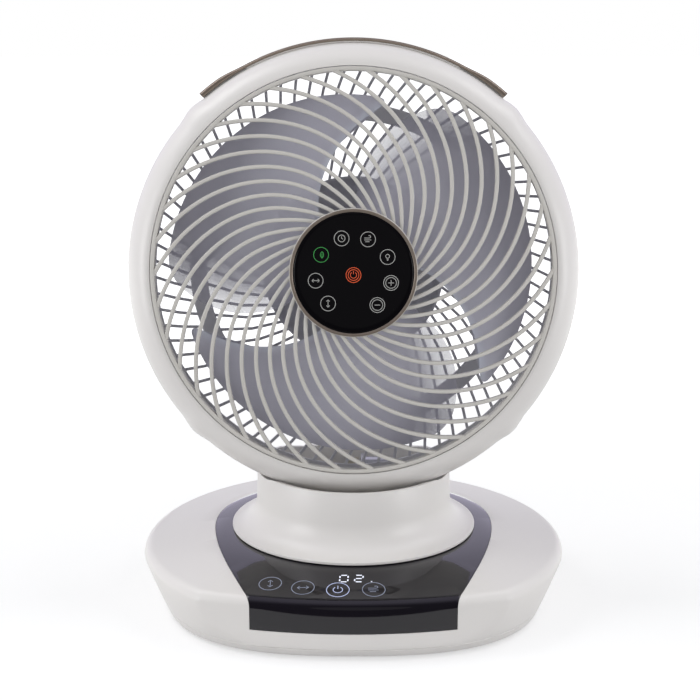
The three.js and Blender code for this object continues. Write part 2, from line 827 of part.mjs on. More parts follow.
// Drawn about the tilt pivot, with its pad shaped to the underside of the head.
function makeTiltKnuckle() {
  const fromPivot = new THREE.Matrix4().makeTranslation(0, -tiltPivotY, -tiltPivotHeight);
  const toPivot = inHead.clone().premultiply(fromPivot);
  const blank = headBlank(-clearance).applyMatrix4(toPivot);
  const barrel = solid(rodAlongX(knuckleRadius, -knuckleHalfLength, knuckleHalfLength));
  const side = new THREE.Shape();
  side.moveTo(0, -knuckleRadius * 0.9);
  side.lineTo(knuckleRadius * 0.6, 0);
  side.lineTo(0, knuckleRadius * 0.9);
  side.lineTo(-armBend, armBend);
  side.lineTo(-armReach, armTop);
  side.lineTo(-armReach, armTop - armDepth);
  side.lineTo(-armBend, -knuckleRadius * 0.7);
  side.closePath();
  const armHalfWidth = knuckleHalfLength - armInset;
  const web = extruded(side, 2 * armHalfWidth).translate(0, 0, -armHalfWidth).applyMatrix4(alongX);
  const gearReach = (tiltModule * tiltGearTeeth) / 2 + tiltModule + 1;
  const gearRoom = rodAlongX(gearReach, -knuckleSlot, knuckleSlot, 36);
  const grilleRoom = latheAlongY([
    [0, 0],
    [headRearRadius - wall, 0],
    [headRearRadius - wall, headRear + clearance],
    [bandOuter + 2, bandDepth + rearBarDepth + 1],
    [0, bandDepth + rearBarDepth + 1],
  ]).applyMatrix4(toPivot);
  let knuckle = join(cut(solid(web), solid(blank), solid(grilleRoom), solid(gearRoom)), barrel);
  const boreDepth = knuckleHalfLength - tiltPinReach;
  for (const [left, right] of [[-knuckleHalfLength - 1, -boreDepth], [boreDepth, knuckleHalfLength + 1]]) {
    knuckle = cut(knuckle, solid(rodAlongX(tiltPinRadius + clearance, left, right)));
  }
  return knuckle;
}

const tiltTeeth = extruded(gearShape(tiltGearTeeth, tiltModule, 0), tiltGearWidth);
const tiltGearBlank = solid(tiltTeeth.translate(0, 0, -tiltGearWidth / 2).applyMatrix4(alongX));
const tiltGearBore = solid(rodAlongX(knuckleRadius + clearance, -tiltGearWidth, tiltGearWidth));
addPart(tiltCarrier, 'tilt_knuckle', makeTiltKnuckle(), 'shell');
addPart(tiltCarrier, 'tilt_gear', cut(tiltGearBlank, tiltGearBore), 'gear');

// ---------------------------------------------------------------- head shell and handle

const strapOuter = strapInner + strapEndThickness;

function makeHeadShell() {
  const outline = [...headOutline(0), ...headOutline(wall, 3).reverse()];
  outline.push(outline[0]);
  let shell = solid(swellCorners(latheAlongY(outline)));
  const lining = topSector(gripFloor - wall, headRadius - 1, gripSpread + 1.2, -wall, headRear - 0.01);
  const grip = topSector(gripFloor, strapOuter + 9, gripSpread, 0, headRear + wall);
  const outside = solid(headBlank(0));
  shell = cut(join(shell, lining.intersect(outside)), grip);
  const strapSeat = topSector(
    strapInner - clearance,
    strapOuter + 9,
    strapSpread + 0.15,
    strapFront - clearance,
    strapFront + strapWidth + clearance,
  );
  return cut(shell, strapSeat);
}

// The strip over the top of the head. It thickens at its ends, where it is fixed.
function makeStrap() {
  const steps = 36;
  const outside = [];
  const inside = [];
  for (let i = 0; i <= steps; i += 1) {
    const away = strapSpread * ((2 * i) / steps - 1);
    const thickening = smoothstep(Math.abs(away), gripSpread, strapSpread - 5);
    const angle = rad(90 + away);
    const reach = strapInner + lerp(strapThickness, strapEndThickness, thickening);
    outside.push(new THREE.Vector2(reach * Math.cos(angle), reach * Math.sin(angle)));
    inside.push(new THREE.Vector2(strapInner * Math.cos(angle), strapInner * Math.sin(angle)));
  }
  const shape = new THREE.Shape([...outside, ...inside.reverse()]);
  return solid(extruded(shape, strapWidth).rotateX(Math.PI / 2).translate(0, strapFront + strapWidth, 0));
}

addPart(head, 'head_shell', makeHeadShell(), 'shell');
addPart(head, 'handle_strap', makeStrap(), 'bronze');

// ---------------------------------------------------------------- front grille and remote

const grilleFront = bezelFront - 2;
const hubFrontFace = grilleFront - grilleDome;
const ringOuter = bezelRadius - 0.8;
const ringInner = ringOuter - grilleRingWidth;
const dockFloor = hubFrontFace + dockDepth - dockWall;

// Angle of a rib at a radius: a steady spiral that curls tighter near the dock.
function ribAngle(radius) {
  const ease = Math.max(0, ribEaseRadius - radius);
  return rad(ribPhase + ribTurn * (radius - ribEaseRadius) - ribEase * ease ** 2);
}

// Depth of the domed grille at a radius.
function ribFront(radius) {
  const share = Math.max(0, (radius - dockRadius) / (ringInner - dockRadius));
  return lerp(hubFrontFace, grilleFront, share ** grilleDomePower) + 0.6;
}

function bar(stations, width, depth, ridge = false) {
  const rings = stations.map(({ radius, angle, front, lean }) => {
    const place = new THREE.Vector3(radius * Math.cos(angle), 0, radius * Math.sin(angle));
    const across = new THREE.Vector3(-Math.sin(angle + lean), 0, Math.cos(angle + lean));
    across.multiplyScalar(width / 2);
    const near = place.clone().setY(front);
    const far = place.clone().setY(front + depth);
    const nearEdges = [near.clone().sub(across), near.clone().add(across)];
    return ridge ? [...nearEdges, far] : [...nearEdges, far.clone().add(across), far.clone().sub(across)];
  });
  return solid(loft(rings));
}

function rib(index) {
  const turn = (index / ribCount) * 2 * Math.PI;
  const stations = [];
  for (let i = 0; i <= ribSteps; i += 1) {
    const share = (i / ribSteps) ** 1.25;
    const radius = lerp(dockRadius - dockWall / 2, ringInner + 1.2, share);
    const slope = (ribAngle(radius + 0.5) - ribAngle(radius - 0.5)) * radius;
    const angle = ribAngle(radius) + turn;
    stations.push({ radius, angle, front: ribFront(radius), lean: Math.atan(slope) });
  }
  return bar(stations, ribWidth, ribDepth);
}

function makeFrontGrille() {
  const ring = latheAlongY([
    [ringInner, grilleFront],
    [ringOuter, grilleFront],
    [ringOuter, grilleFront + grilleRingDepth],
    [ringInner, grilleFront + grilleRingDepth],
    [ringInner, grilleFront],
  ], 2 * ribCount).rotateY(Math.PI / (2 * ribCount));
  const dock = latheAlongY([
    [0, dockFloor],
    [dockRadius - dockWall, dockFloor],
    [dockRadius - dockWall, hubFrontFace],
    [dockRadius, hubFrontFace],
    [dockRadius, dockFloor + dockWall],
    [0, dockFloor + dockWall],
  ], ribCount).rotateY(-ribAngle(dockRadius));
  let grille = join(solid(ring), solid(dock));
  for (let index = 0; index < ribCount; index += 1) grille = join(grille, rib(index));
  return grille;
}

addPart(head, 'front_grille', makeFrontGrille(), 'grille');

const magnetSeat = dockFloor + dockWall + clearance;
const magnet = latheAlongY([
  [0, magnetSeat],
  [magnetRadius, magnetSeat],
  [magnetRadius, magnetSeat + magnetThickness],
  [0, magnetSeat + magnetThickness],
], smallSteps);
addPart(head, 'dock_magnet', solid(magnet), 'steel');

const remoteBack = dockFloor - clearance;
const remoteFront = remoteBack - remoteThickness;
const faceRadius = remoteEdgeRadius - remoteTrimWidth;
const flangeFront = hubFrontFace - clearance - remoteFlange;

// The body sits inside the dock, and its flange and trim lie in front of the dock's rim.
function makeRemoteBody() {
  const bodyRadius = dockRadius - dockWall - 2 * clearance;
  const edgeRound = 1.2;
  const flangeRadius = remoteEdgeRadius - 1;
  const faceSeat = remoteFront + remoteFaceThickness + clearance;
  return solid(latheAlongY([
    [0, remoteBack],
    [bodyRadius - edgeRound, remoteBack],
    [bodyRadius, remoteBack - edgeRound],
    [bodyRadius, hubFrontFace - clearance],
    [flangeRadius, hubFrontFace - clearance],
    [flangeRadius, flangeFront],
    [faceRadius - clearance, flangeFront],
    [faceRadius - clearance, faceSeat],
    [0, faceSeat],
  ], remoteSteps));
}

function makeRemoteTrim() {
  const inner = faceRadius;
  const back = flangeFront - clearance;
  const edgeRound = 0.6;
  return solid(latheAlongY([
    [inner, back],
    [inner, remoteFront + edgeRound],
    [inner + edgeRound, remoteFront],
    [remoteEdgeRadius - edgeRound, remoteFront],
    [remoteEdgeRadius, remoteFront + edgeRound],
    [remoteEdgeRadius, back],
    [inner, back],
  ], remoteSteps));
}

function makeRemoteFace() {
  const edge = faceRadius - clearance;
  return solid(latheAlongY([
    [0, remoteFront],
    [edge - 0.8, remoteFront + 0.2],
    [edge, remoteFront + 0.8],
    [edge, remoteFront + remoteFaceThickness],
    [0, remoteFront + remoteFaceThickness],
  ], remoteSteps));
}

addPart(head, 'remote_body', makeRemoteBody(), 'dark');
addPart(head, 'remote_trim', makeRemoteTrim(), 'bronze');
addPart(head, 'remote_face', makeRemoteFace(), 'gloss');

// ---------------------------------------------------------------- rear grille

const frameOuter = headRearRadius - wall - clearance;
const rearFrameInner = frameOuter - rearFrameWidth;
const frameFront = headRear - 4;

// A straight bar between two rings. It leaves and meets them in the middle of a facet.
function rearBar(inner, outer, width, innerAngle, outerAngle, innerFront, outerFront) {
  const lean = Math.atan(((outerAngle - innerAngle) * (inner + outer)) / 2 / (outer - inner));
  const stations = [
    { radius: inner - 0.8, angle: innerAngle, front: innerFront, lean },
    { radius: outer + 0.8, angle: outerAngle, front: outerFront, lean },
  ];
  return bar(stations, width, rearBarDepth, true);
}

function ringSolid(inner, innerSteps, outer, outerSteps, front, back) {
  const disc = (radius, from, to, steps) => {
    const profile = [[0, from], [radius, from], [radius, to], [0, to]];
    return solid(latheAlongY(profile, steps));
  };
  return cut(disc(outer, front, back, outerSteps), disc(inner, front - 1, back + 1, innerSteps));
}

function makeRearGrille() {
  const frame = ringSolid(rearFrameInner, outerBarCount, frameOuter, roundSteps, frameFront, headRear);
  const bandBack = bandDepth + rearBarDepth;
  const band = ringSolid(bandInner, innerBarCount, bandOuter, outerBarCount, bandDepth - wall, bandBack);
  const back = capDepth + capThickness;
  const cap = latheAlongY([
    [0, capDepth],
    [capRadius - 8, capDepth],
    [capRadius - 3, capDepth - 5],
    [capRadius, capDepth - 5],
    [capRadius - 6, back],
    [0, back],
  ], innerBarCount);
  let grille = join(frame, band, solid(cap));
  const outerStep = (2 * Math.PI) / outerBarCount;
  const innerStep = (2 * Math.PI) / innerBarCount;
  for (let index = 0; index < outerBarCount; index += 1) {
    const angle = (index + 0.5) * outerStep;
    const ends = [angle, angle - outerStep, bandDepth - 2, frameFront + 0.6];
    grille = join(grille, rearBar(bandOuter, rearFrameInner, rearBarWidth, ...ends));
  }
  for (let index = 0; index < innerBarCount; index += 1) {
    const angle = index * innerStep;
    const ends = [angle, angle - 2 * innerStep, capDepth - 4.4, bandDepth - 2];
    grille = join(grille, rearBar(capRadius, bandInner, rearBarWidth, ...ends));
  }
  return grille;
}

addPart(head, 'rear_grille', makeRearGrille(), 'grille');

// ---------------------------------------------------------------- motor and impeller

const motorBack = capDepth - clearance;
const motorFront = motorBack - motorLength;
const hubBack = hubFront + hubDepth;

function makeMotorHousing() {
  return solid(latheAlongY([
    [shaftRadius + clearance, motorFront],
    [motorRadius - 3, motorFront],
    [motorRadius, motorFront + 3],
    [motorRadius, motorBack],
    [motorRadius - 2, motorBack],
    [motorRadius - 2, motorFront + 8],
    [shaftRadius + clearance, motorFront + 8],
    [shaftRadius + clearance, motorFront],
  ], 36));
}

function makeStator() {
  const back = motorBack;
  return solid(latheAlongY([
    [shaftRadius + 1, back - statorLength],
    [statorRadius, back - statorLength],
    [statorRadius, back],
    [shaftRadius + 1, back],
    [shaftRadius + 1, back - statorLength],
  ], 36));
}

// One blade: a wide twisted sheet. Seen from the front, its near edge leans back towards the tip more
// than its rear edge does, and its tip reaches further out at the rear.
function blade(index) {
  const radialSteps = 5;
  const sweepSteps = 8;
  const tipRadius = bezelRadius - bladeTipGap;
  const across = [];
  for (let i = 0; i <= radialSteps; i += 1) {
    const outwards = i / radialSteps;
    const near = [];
    const far = [];
    for (let j = 0; j <= sweepSteps; j += 1) {
      const along = j / sweepSteps;
      const radius = lerp(hubRadius - 4, tipRadius + bladeTipGrowth * (along - 0.5), outwards);
      const beyond = radius - bladeMidRadius;
      const frontEdge = bladeFrontAngle - bladeFrontSweep * beyond;
      const rearEdge = bladeRearAngle - bladeRearSweep * beyond - bladeRearCurl * beyond ** 2;
      const angle = rad(lerp(frontEdge, rearEdge, along) + (index * 360) / bladeCount);
      const rise = bladePitch * lerp(0.62, 1, outwards) * (along - 0.5);
      const camber = bladeCamber * Math.sin(along * Math.PI) * outwards;
      const y = hubFront + hubDepth / 2 + rise + camber;
      const place = new THREE.Vector3(radius * Math.cos(angle), y, radius * Math.sin(angle));
      near.push(place.clone().setY(y - bladeThickness / 2));
      far.push(place.clone().setY(y + bladeThickness / 2));
    }
    across.push([...near, ...far.reverse()]);
  }
  return solid(loft(across, true));
}

function makeImpeller() {
  const hub = latheAlongY([
    [shaftRadius + clearance, hubFront],
    [hubRadius - hubEdge, hubFront],
    [hubRadius, hubFront + hubEdge],
    [hubRadius, hubBack],
    [hubRadius - hubWall, hubBack],
    [hubRadius - hubWall, hubFront + hubFloor],
    [shaftRadius + clearance, hubFront + hubFloor],
    [shaftRadius + clearance, hubFront],
  ], 40);
  const middle = hubRadius - hubWall / 2;
  const inside = latheAlongY([
    [0, hubFront - hubDepth],
    [middle - hubEdge, hubFront - hubDepth],
    [middle - hubEdge, hubFront + hubFloor / 2],
    [middle, hubFront + hubFloor / 2 + hubEdge],
    [middle, hubBack + hubDepth],
    [0, hubBack + hubDepth],
  ], 40);
  let wheel = solid(hub);
  for (let index = 0; index < bladeCount; index += 1) wheel = join(wheel, cut(blade(index), solid(inside)));
  return wheel;
}

function makeShaft() {
  const front = hubFront - spinnerLength;
  const back = motorBack - 2;
  return solid(latheAlongY([[0, front], [shaftRadius, front], [shaftRadius, back], [0, back]], smallSteps));
}

function makeSpinner() {
  const back = hubFront - clearance;
  const shoulder = spinnerLength / 2;
  return solid(latheAlongY([
    [shaftRadius + clearance, back],
    [spinnerRadius, back],
    [spinnerRadius, back - shoulder],
    [spinnerRadius - shoulder, back - spinnerLength],
    [shaftRadius + clearance, back - spinnerLength],
    [shaftRadius + clearance, back],
  ], smallSteps));
}

addPart(head, 'motor_housing', makeMotorHousing(), 'dark');
addPart(head, 'motor_stator', makeStator(), 'steel');
addPart(head, 'impeller', makeImpeller(), 'blade');
addPart(head, 'motor_shaft', makeShaft(), 'steel');
addPart(head, 'spinner_nut', makeSpinner(), 'dark');

export default fan;
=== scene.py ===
import math
import bmesh
import bpy
from mathutils import Matrix, Vector
from mathutils.bvhtree import BVHTree


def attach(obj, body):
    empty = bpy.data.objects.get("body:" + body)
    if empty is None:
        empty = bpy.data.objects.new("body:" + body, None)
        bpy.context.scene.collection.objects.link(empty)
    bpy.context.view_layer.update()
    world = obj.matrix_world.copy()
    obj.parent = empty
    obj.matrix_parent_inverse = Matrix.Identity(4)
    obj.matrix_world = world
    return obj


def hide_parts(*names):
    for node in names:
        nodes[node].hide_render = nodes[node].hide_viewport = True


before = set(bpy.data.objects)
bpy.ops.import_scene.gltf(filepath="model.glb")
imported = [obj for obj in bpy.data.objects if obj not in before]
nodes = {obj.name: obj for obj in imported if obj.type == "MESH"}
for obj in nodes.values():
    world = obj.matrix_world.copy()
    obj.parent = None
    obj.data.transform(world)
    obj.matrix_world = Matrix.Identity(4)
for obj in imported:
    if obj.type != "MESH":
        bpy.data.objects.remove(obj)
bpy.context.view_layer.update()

# Air circulator on a dish base. Sizes are in millimetres, drawn about the swivel axis or the
# middle of the head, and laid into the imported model's frame in metres at the end of each piece.

print("frame loaded:", len(nodes), "nodes")

layout = {"swivelY": -12.75, "headHeight": 271.0, "headLean": 8.3, "pivotY": 26.0, "pivotHeight": 86.0}

swivelPlace = Matrix.Translation((0, layout["swivelY"], 0))
headPlace = (Matrix.Translation((0, layout["swivelY"], layout["headHeight"]))
             @ Matrix.Rotation(math.radians(-layout["headLean"]), 4, "X"))
toMetres = Matrix.Scale(0.001, 4)


def meshPiece(name, points, faces):
    mesh = bpy.data.meshes.new(name)
    mesh.from_pydata([tuple(point) for point in points], [], faces)
    piece = bpy.data.objects.new(name, mesh)
    bpy.context.scene.collection.objects.link(piece)
    return piece


def faceOutwards(piece):
    work = bmesh.new()
    work.from_mesh(piece.data)
    bmesh.ops.remove_doubles(work, verts=work.verts, dist=0.0005)
    bmesh.ops.recalc_face_normals(work, faces=work.faces)
    work.to_mesh(piece.data)
    work.free()
    return piece


# A closed skin through rings of points; the rings join end to end when looped is true.
def skin(name, rings, looped=False):
    count = len(rings[0])
    points = [point for ring in rings for point in ring]
    faces = []
    rows = len(rings) if looped else len(rings) - 1
    for row in range(rows):
        here, there = row * count, ((row + 1) % len(rings)) * count
        for i in range(count):
            j = (i + 1) % count
            faces.append((here + i, here + j, there + j, there + i))
    if not looped:
        faces.append(tuple(range(count))[::-1])
        faces.append(tuple((len(rings) - 1) * count + i for i in range(count)))
    return faceOutwards(meshPiece(name, points, faces))


# Turned about the head's axis, Y, or about Z; points are (radius, along) and the profile closes.
def turned(name, profile, steps=180, axis="Y", reshape=None):
    rings = []
    for i in range(steps):
        turn = 2 * math.pi * i / steps
        ring = []
        for radius, along in profile:
            across, up = radius * math.cos(turn), radius * math.sin(turn)
            ring.append((across, along, up) if axis == "Y" else (across, up, along))
        rings.append(ring)
    piece = skin(name, rings, looped=True)
    if reshape:
        for vertex in piece.data.vertices:
            vertex.co = reshape(vertex.co)
    return piece


def tube(name, radius, low, high, steps=64):
    return turned(name, [(0.0, low), (radius, low), (radius, high), (0.0, high)], steps, "Z")


def block(name, low, high):
    corners = ((low[0], low[1]), (high[0], low[1]), (high[0], high[1]), (low[0], high[1]))
    return skin(name, [[(x, y, z) for x, y in corners] for z in (low[2], high[2])])


def prism(name, outline, low, high):
    return skin(name, [[(x, y, z) for x, y in outline] for z in (low, high)])


# Replaces the mesh by what its modifiers make of it.
def settle(piece):
    graph = bpy.context.evaluated_depsgraph_get()
    made = bpy.data.meshes.new_from_object(piece.evaluated_get(graph))
    piece.modifiers.clear()
    spare = piece.data
    piece.data = made
    bpy.data.meshes.remove(spare)
    return piece


def combine(piece, tool, how="DIFFERENCE"):
    modifier = piece.modifiers.new("combine", "BOOLEAN")
    modifier.operation = how
    modifier.solver = "EXACT"
    modifier.object = tool
    settle(piece)
    bpy.data.objects.remove(tool)
    return piece


def gather(name, parts):
    points, faces = [], []
    for part in parts:
        start = len(points)
        points += [tuple(vertex.co) for vertex in part.data.vertices]
        faces += [tuple(start + i for i in face.vertices) for face in part.data.polygons]
        bpy.data.objects.remove(part)
    return meshPiece(name, points, faces)


def softenEdges(piece, width, segments=2, angle=35):
    modifier = piece.modifiers.new("soften", "BEVEL")
    modifier.width = width
    modifier.segments = segments
    modifier.limit_method = "ANGLE"
    modifier.angle_limit = math.radians(angle)
    return settle(piece)


# Copies of one shape in a ring about the head's axis, made with Geometry Nodes and then baked.
def ringOfCopies(name, source, count, finish):
    tree = bpy.data.node_groups.new(name + " ring", "GeometryNodeTree")
    tree.interface.new_socket("Shape", in_out="INPUT", socket_type="NodeSocketGeometry")
    countInput = tree.interface.new_socket("Count", in_out="INPUT", socket_type="NodeSocketInt")
    finishInput = tree.interface.new_socket("Finish", in_out="INPUT", socket_type="NodeSocketMaterial")
    tree.interface.new_socket("Copies", in_out="OUTPUT", socket_type="NodeSocketGeometry")
    start = addNode(tree, "NodeGroupInput")
    line = addNode(tree, "GeometryNodeMeshLine", inputs={
        "Count": start.outputs["Count"], "Offset": (0, 0, 0)})
    number = addNode(tree, "GeometryNodeInputIndex")
    step = addNode(tree, "ShaderNodeMath", {"operation": "DIVIDE"}, {
        0: 2 * math.pi, 1: start.outputs["Count"]})
    turn = addNode(tree, "ShaderNodeMath", {"operation": "MULTIPLY"}, {
        0: number.outputs[0], 1: step.outputs[0]})
    about = addNode(tree, "ShaderNodeCombineXYZ", inputs={"Y": turn.outputs[0]})
    copies = addNode(tree, "GeometryNodeInstanceOnPoints", inputs={
        "Points": line.outputs[0], "Instance": start.outputs["Shape"], "Rotation": about.outputs[0]})
    real = addNode(tree, "GeometryNodeRealizeInstances", inputs={"Geometry": copies.outputs[0]})
    painted = addNode(tree, "GeometryNodeSetMaterial", inputs={
        "Geometry": real.outputs[0], "Material": start.outputs["Finish"]})
    addNode(tree, "NodeGroupOutput", inputs={"Copies": painted.outputs[0]})
    modifier = source.modifiers.new(name, "NODES")
    modifier.node_group = tree
    modifier[countInput.identifier] = count
    modifier[finishInput.identifier] = finish
    return settle(source)


# Lays a finished shape into the frame, smooths it, and gives it its finish and its body.
def finishPiece(piece, name, place, finish, body, replaced=(), sharp=32):
    piece.name = name
    piece.data.name = name
    piece.data.transform(toMetres @ place)
    piece.data.shade_smooth()
    piece.data.set_sharp_from_angle(angle=math.radians(sharp))
    piece.data.materials.clear()
    piece.data.materials.append(finish)
    if replaced:
        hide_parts(*replaced)
    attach(piece, body)
    return piece


def hexColour(code):
    parts = [int(code[i:i + 2], 16) / 255 for i in (1, 3, 5)]
    linear = [part / 12.92 if part <= 0.04045 else ((part + 0.055) / 1.055) ** 2.4 for part in parts]
    return (*linear, 1.0)


def addNode(tree, kind, settings=None, inputs=None):
    node = tree.nodes.new(kind)
    for key, value in (settings or {}).items():
        setattr(node, key, value)
    for key, value in (inputs or {}).items():
        if isinstance(value, bpy.types.NodeSocket):
            tree.links.new(value, node.inputs[key])
        else:
            node.inputs[key].default_value = value
    return node


def perMillimetre(size):
    return 1000.0 / size


# Moulded or painted surface: a faint cloud of tone, a finer grain in the gloss and a shallow bump.
def surface(name, look):
    material = bpy.data.materials.new(name)
    material.use_nodes = True
    tree = material.node_tree
    tree.nodes.clear()
    place = addNode(tree, "ShaderNodeTexCoord")
    cloud = addNode(tree, "ShaderNodeTexNoise", inputs={
        "Vector": place.outputs["Object"], "Scale": perMillimetre(look.get("cloud", 60)), "Detail": 3.0})
    tone = addNode(tree, "ShaderNodeMix", {"data_type": "RGBA"}, {
        "Factor": cloud.outputs[0], 6: hexColour(look["colour"]), 7: hexColour(look["second"])})
    grain = addNode(tree, "ShaderNodeTexNoise", inputs={
        "Vector": place.outputs["Object"], "Scale": perMillimetre(look["grain"]), "Detail": 2.0})
    gloss = addNode(tree, "ShaderNodeMapRange", inputs={
        "Value": grain.outputs[0], "To Min": look["rough"] - look.get("spread", 0.04),
        "To Max": look["rough"] + look.get("spread", 0.04)})
    bump = addNode(tree, "ShaderNodeBump", inputs={
        "Height": grain.outputs[0], "Strength": look.get("relief", 0.15),
        "Distance": look["grain"] * 0.0001})
    shader = addNode(tree, "ShaderNodeBsdfPrincipled", inputs={
        "Base Color": tone.outputs[2], "Roughness": gloss.outputs[0], "Normal": bump.outputs[0],
        "Metallic": look.get("metal", 0.0), "IOR": look.get("ior", 1.5)})
    for key in ("Transmission Weight", "Subsurface Weight", "Coat Weight", "Coat Roughness", "Coat IOR",
                "Emission Strength"):
        if key in look:
            shader.inputs[key].default_value = look[key]
    if "glow" in look:
        shader.inputs["Emission Color"].default_value = hexColour(look["glow"])
    if "scatter" in look:
        shader.inputs["Subsurface Radius"].default_value = look["scatter"]
        shader.inputs["Subsurface Scale"].default_value = 0.004
    addNode(tree, "ShaderNodeOutputMaterial", inputs={"Surface": shader.outputs[0]})
    return material


# Satin injection-moulded ABS: an even white with a very fine spark-eroded grain.
whiteAbs = surface("moulded white ABS", {
    "colour": "#E9E6E3", "second": "#E4E1DE", "cloud": 90, "grain": 1.1, "rough": 0.36, "ior": 1.53})
# The grilles are the same plastic in a warmer light grey, a little glossier on the ribs.
greyAbs = surface("moulded warm grey ABS", {
    "colour": "#D3D0CA", "second": "#CCC9C3", "cloud": 70, "grain": 1.0, "rough": 0.33, "ior": 1.53})
# The rear guard is moulded in a cooler light grey.
rearAbs = surface("moulded cool grey ABS", {
    "colour": "#DADADE", "second": "#D3D3D8", "cloud": 70, "grain": 1.0, "rough": 0.4, "ior": 1.53})
# Frosted AS resin: cloudy and lilac grey in the body, with a painted highlight that lightens the colour along the
# near edge, and clear enough towards the far edge that the guard behind shows through.
frostedLook = {"colour": "#D6D5E3", "second": "#CECDDB", "paintedEdgeHighlight": "#DDE0EE", "rough": 0.36, "ior": 1.57,
               "body": 0.86, "clear": 0.34, "cloud": 50, "grain": 1.4}


def frostedResinMaterial(look):
    material = surface("frosted AS resin", look)
    tree = material.node_tree
    shader = next(node for node in tree.nodes if node.type == "BSDF_PRINCIPLED")
    body = shader.inputs["Base Color"].links[0].from_socket
    share = addNode(tree, "ShaderNodeAttribute", {"attribute_name": "along"})
    # Painted highlight: the base colour is lightened towards each blade's near edge.
    rim = addNode(tree, "ShaderNodeMapRange", {"interpolation_type": "SMOOTHSTEP"}, {
        "Value": share.outputs["Fac"], "From Min": 0.0, "From Max": 0.05, "To Min": 1.0, "To Max": 0.0})
    highlightTint = addNode(tree, "ShaderNodeMix", {"data_type": "RGBA"}, {
        "Factor": rim.outputs[0], 6: body, 7: hexColour(look["paintedEdgeHighlight"])})
    fade = addNode(tree, "ShaderNodeMapRange", {"interpolation_type": "SMOOTHSTEP"}, {
        "Value": share.outputs["Fac"], "From Min": 0.74, "From Max": 1.0,
        "To Min": look["body"], "To Max": look["clear"]})
    tree.links.new(highlightTint.outputs[2], shader.inputs["Base Color"])
    tree.links.new(fade.outputs[0], shader.inputs["Alpha"])
    return material


frostedResin = frostedResinMaterial(frostedLook)
# Clear acrylic over a dark print: near black head on, with a mirror gloss that pales at low angles.
smokedAcrylic = surface("smoked gloss acrylic", {
    "colour": "#151219", "second": "#110F14", "cloud": 120, "grain": 2.5, "rough": 0.055, "spread": 0.01,
    "relief": 0.01, "ior": 1.34, "Coat Weight": 1.0, "Coat Roughness": 0.03, "Coat IOR": 1.3})
remoteAcrylic = surface("black gloss acrylic", {
    "colour": "#0C0B0D", "second": "#09080A", "cloud": 60, "grain": 2.5, "rough": 0.09, "spread": 0.01,
    "relief": 0.01, "ior": 1.22})
# Metal-flake bronze lacquer: broad soft highlights with a fine sparkle.
bronzePaint = surface("bronze flake lacquer", {
    "colour": "#9C8F82", "second": "#8A7E72", "cloud": 3, "grain": 0.7, "rough": 0.34, "spread": 0.08,
    "metal": 0.55, "relief": 0.2})
darkAbs = surface("moulded charcoal ABS", {
    "colour": "#2E2D2F", "second": "#292829", "cloud": 50, "grain": 1.2, "rough": 0.5})
acetal = surface("moulded acetal", {
    "colour": "#E6E1D3", "second": "#DDD8CA", "cloud": 25, "grain": 1.0, "rough": 0.42, "ior": 1.48})
zincSteel = surface("zinc plated steel", {
    "colour": "#B9BABB", "second": "#A9ABAD", "cloud": 6, "grain": 0.8, "rough": 0.3, "spread": 0.08,
    "metal": 1.0})
rubberFoot = surface("moulded nitrile rubber", {
    "colour": "#343434", "second": "#2C2C2C", "cloud": 8, "grain": 0.9, "rough": 0.8, "relief": 0.4})
maskedBoard = surface("solder masked board", {
    "colour": "#2C5A3A", "second": "#1F4A2D", "cloud": 5, "grain": 1.6, "rough": 0.4, "relief": 0.3})
# Print seen through the gloss: pale and slightly self-lit so that it stays legible.
lampWhite = surface("white LED print", {
    "colour": "#DCE0EC", "second": "#D2D7E6", "cloud": 10, "grain": 1.0, "rough": 0.3,
    "glow": "#E4E8F4", "Emission Strength": 0.55})
# Grey blue print of the unlit panel keys; its faint emission is a painted glow, not a lamp.
paleLine = surface("grey blue key print", {
    "colour": "#8A90A3", "second": "#838A9E", "cloud": 10, "grain": 1.0, "rough": 0.3,
    "glow": "#AEB8CC", "Emission Strength": 0.07})
# Pale grey remote key print; its faint emission is a painted glow, since the remote's keys are not lit.
ashLine = surface("pale grey key print", {
    "colour": "#A9A9A6", "second": "#A1A19E", "cloud": 10, "grain": 1.0, "rough": 0.3,
    "glow": "#B9B9B6", "Emission Strength": 0.12})
litLine = surface("lit blue key print", {
    "colour": "#B9C2E2", "second": "#B1BBDD", "cloud": 10, "grain": 1.0, "rough": 0.3,
    "glow": "#AEB8E0", "Emission Strength": 0.3})
# Green and orange remote key print; their emission is a painted glow, since the remote's keys are not lit.
greenPrint = surface("green key print", {
    "colour": "#3E9A4C", "second": "#389045", "cloud": 10, "grain": 1.0, "rough": 0.4,
    "glow": "#3E9A4C", "Emission Strength": 0.15})
redPrint = surface("orange key print", {
    "colour": "#D6562E", "second": "#CC502A", "cloud": 10, "grain": 1.0, "rough": 0.4,
    "glow": "#D6562E", "Emission Strength": 0.25})
print("materials made")

cadFinishes = {
    "base_shell": whiteAbs, "base_plate": whiteAbs, "neck_shell": whiteAbs, "head_shell": whiteAbs,
    "tilt_knuckle": whiteAbs, "front_grille": greyAbs, "rear_grille": rearAbs, "impeller": frostedResin,
    "control_panel": smokedAcrylic, "remote_face": remoteAcrylic, "handle_strap": bronzePaint,
    "remote_trim": bronzePaint, "power_jack": darkAbs, "led_display": darkAbs, "tilt_frame": zincSteel,
    "remote_body": darkAbs, "motor_housing": darkAbs, "spinner_nut": darkAbs, "power_board": maskedBoard,
    "touch_board": maskedBoard, "foot_pad_1": rubberFoot, "foot_pad_2": rubberFoot, "foot_pad_3": rubberFoot,
    "foot_pad_4": rubberFoot, "pan_pinion": acetal, "pan_gear": acetal, "tilt_pinion": acetal,
    "tilt_gear": acetal,
}
for nodeName, node in nodes.items():
    finish = cadFinishes.get(nodeName, zincSteel)
    if not node.material_slots:
        node.data.materials.append(finish)
    for materialSlot in node.material_slots:
        materialSlot.material = finish


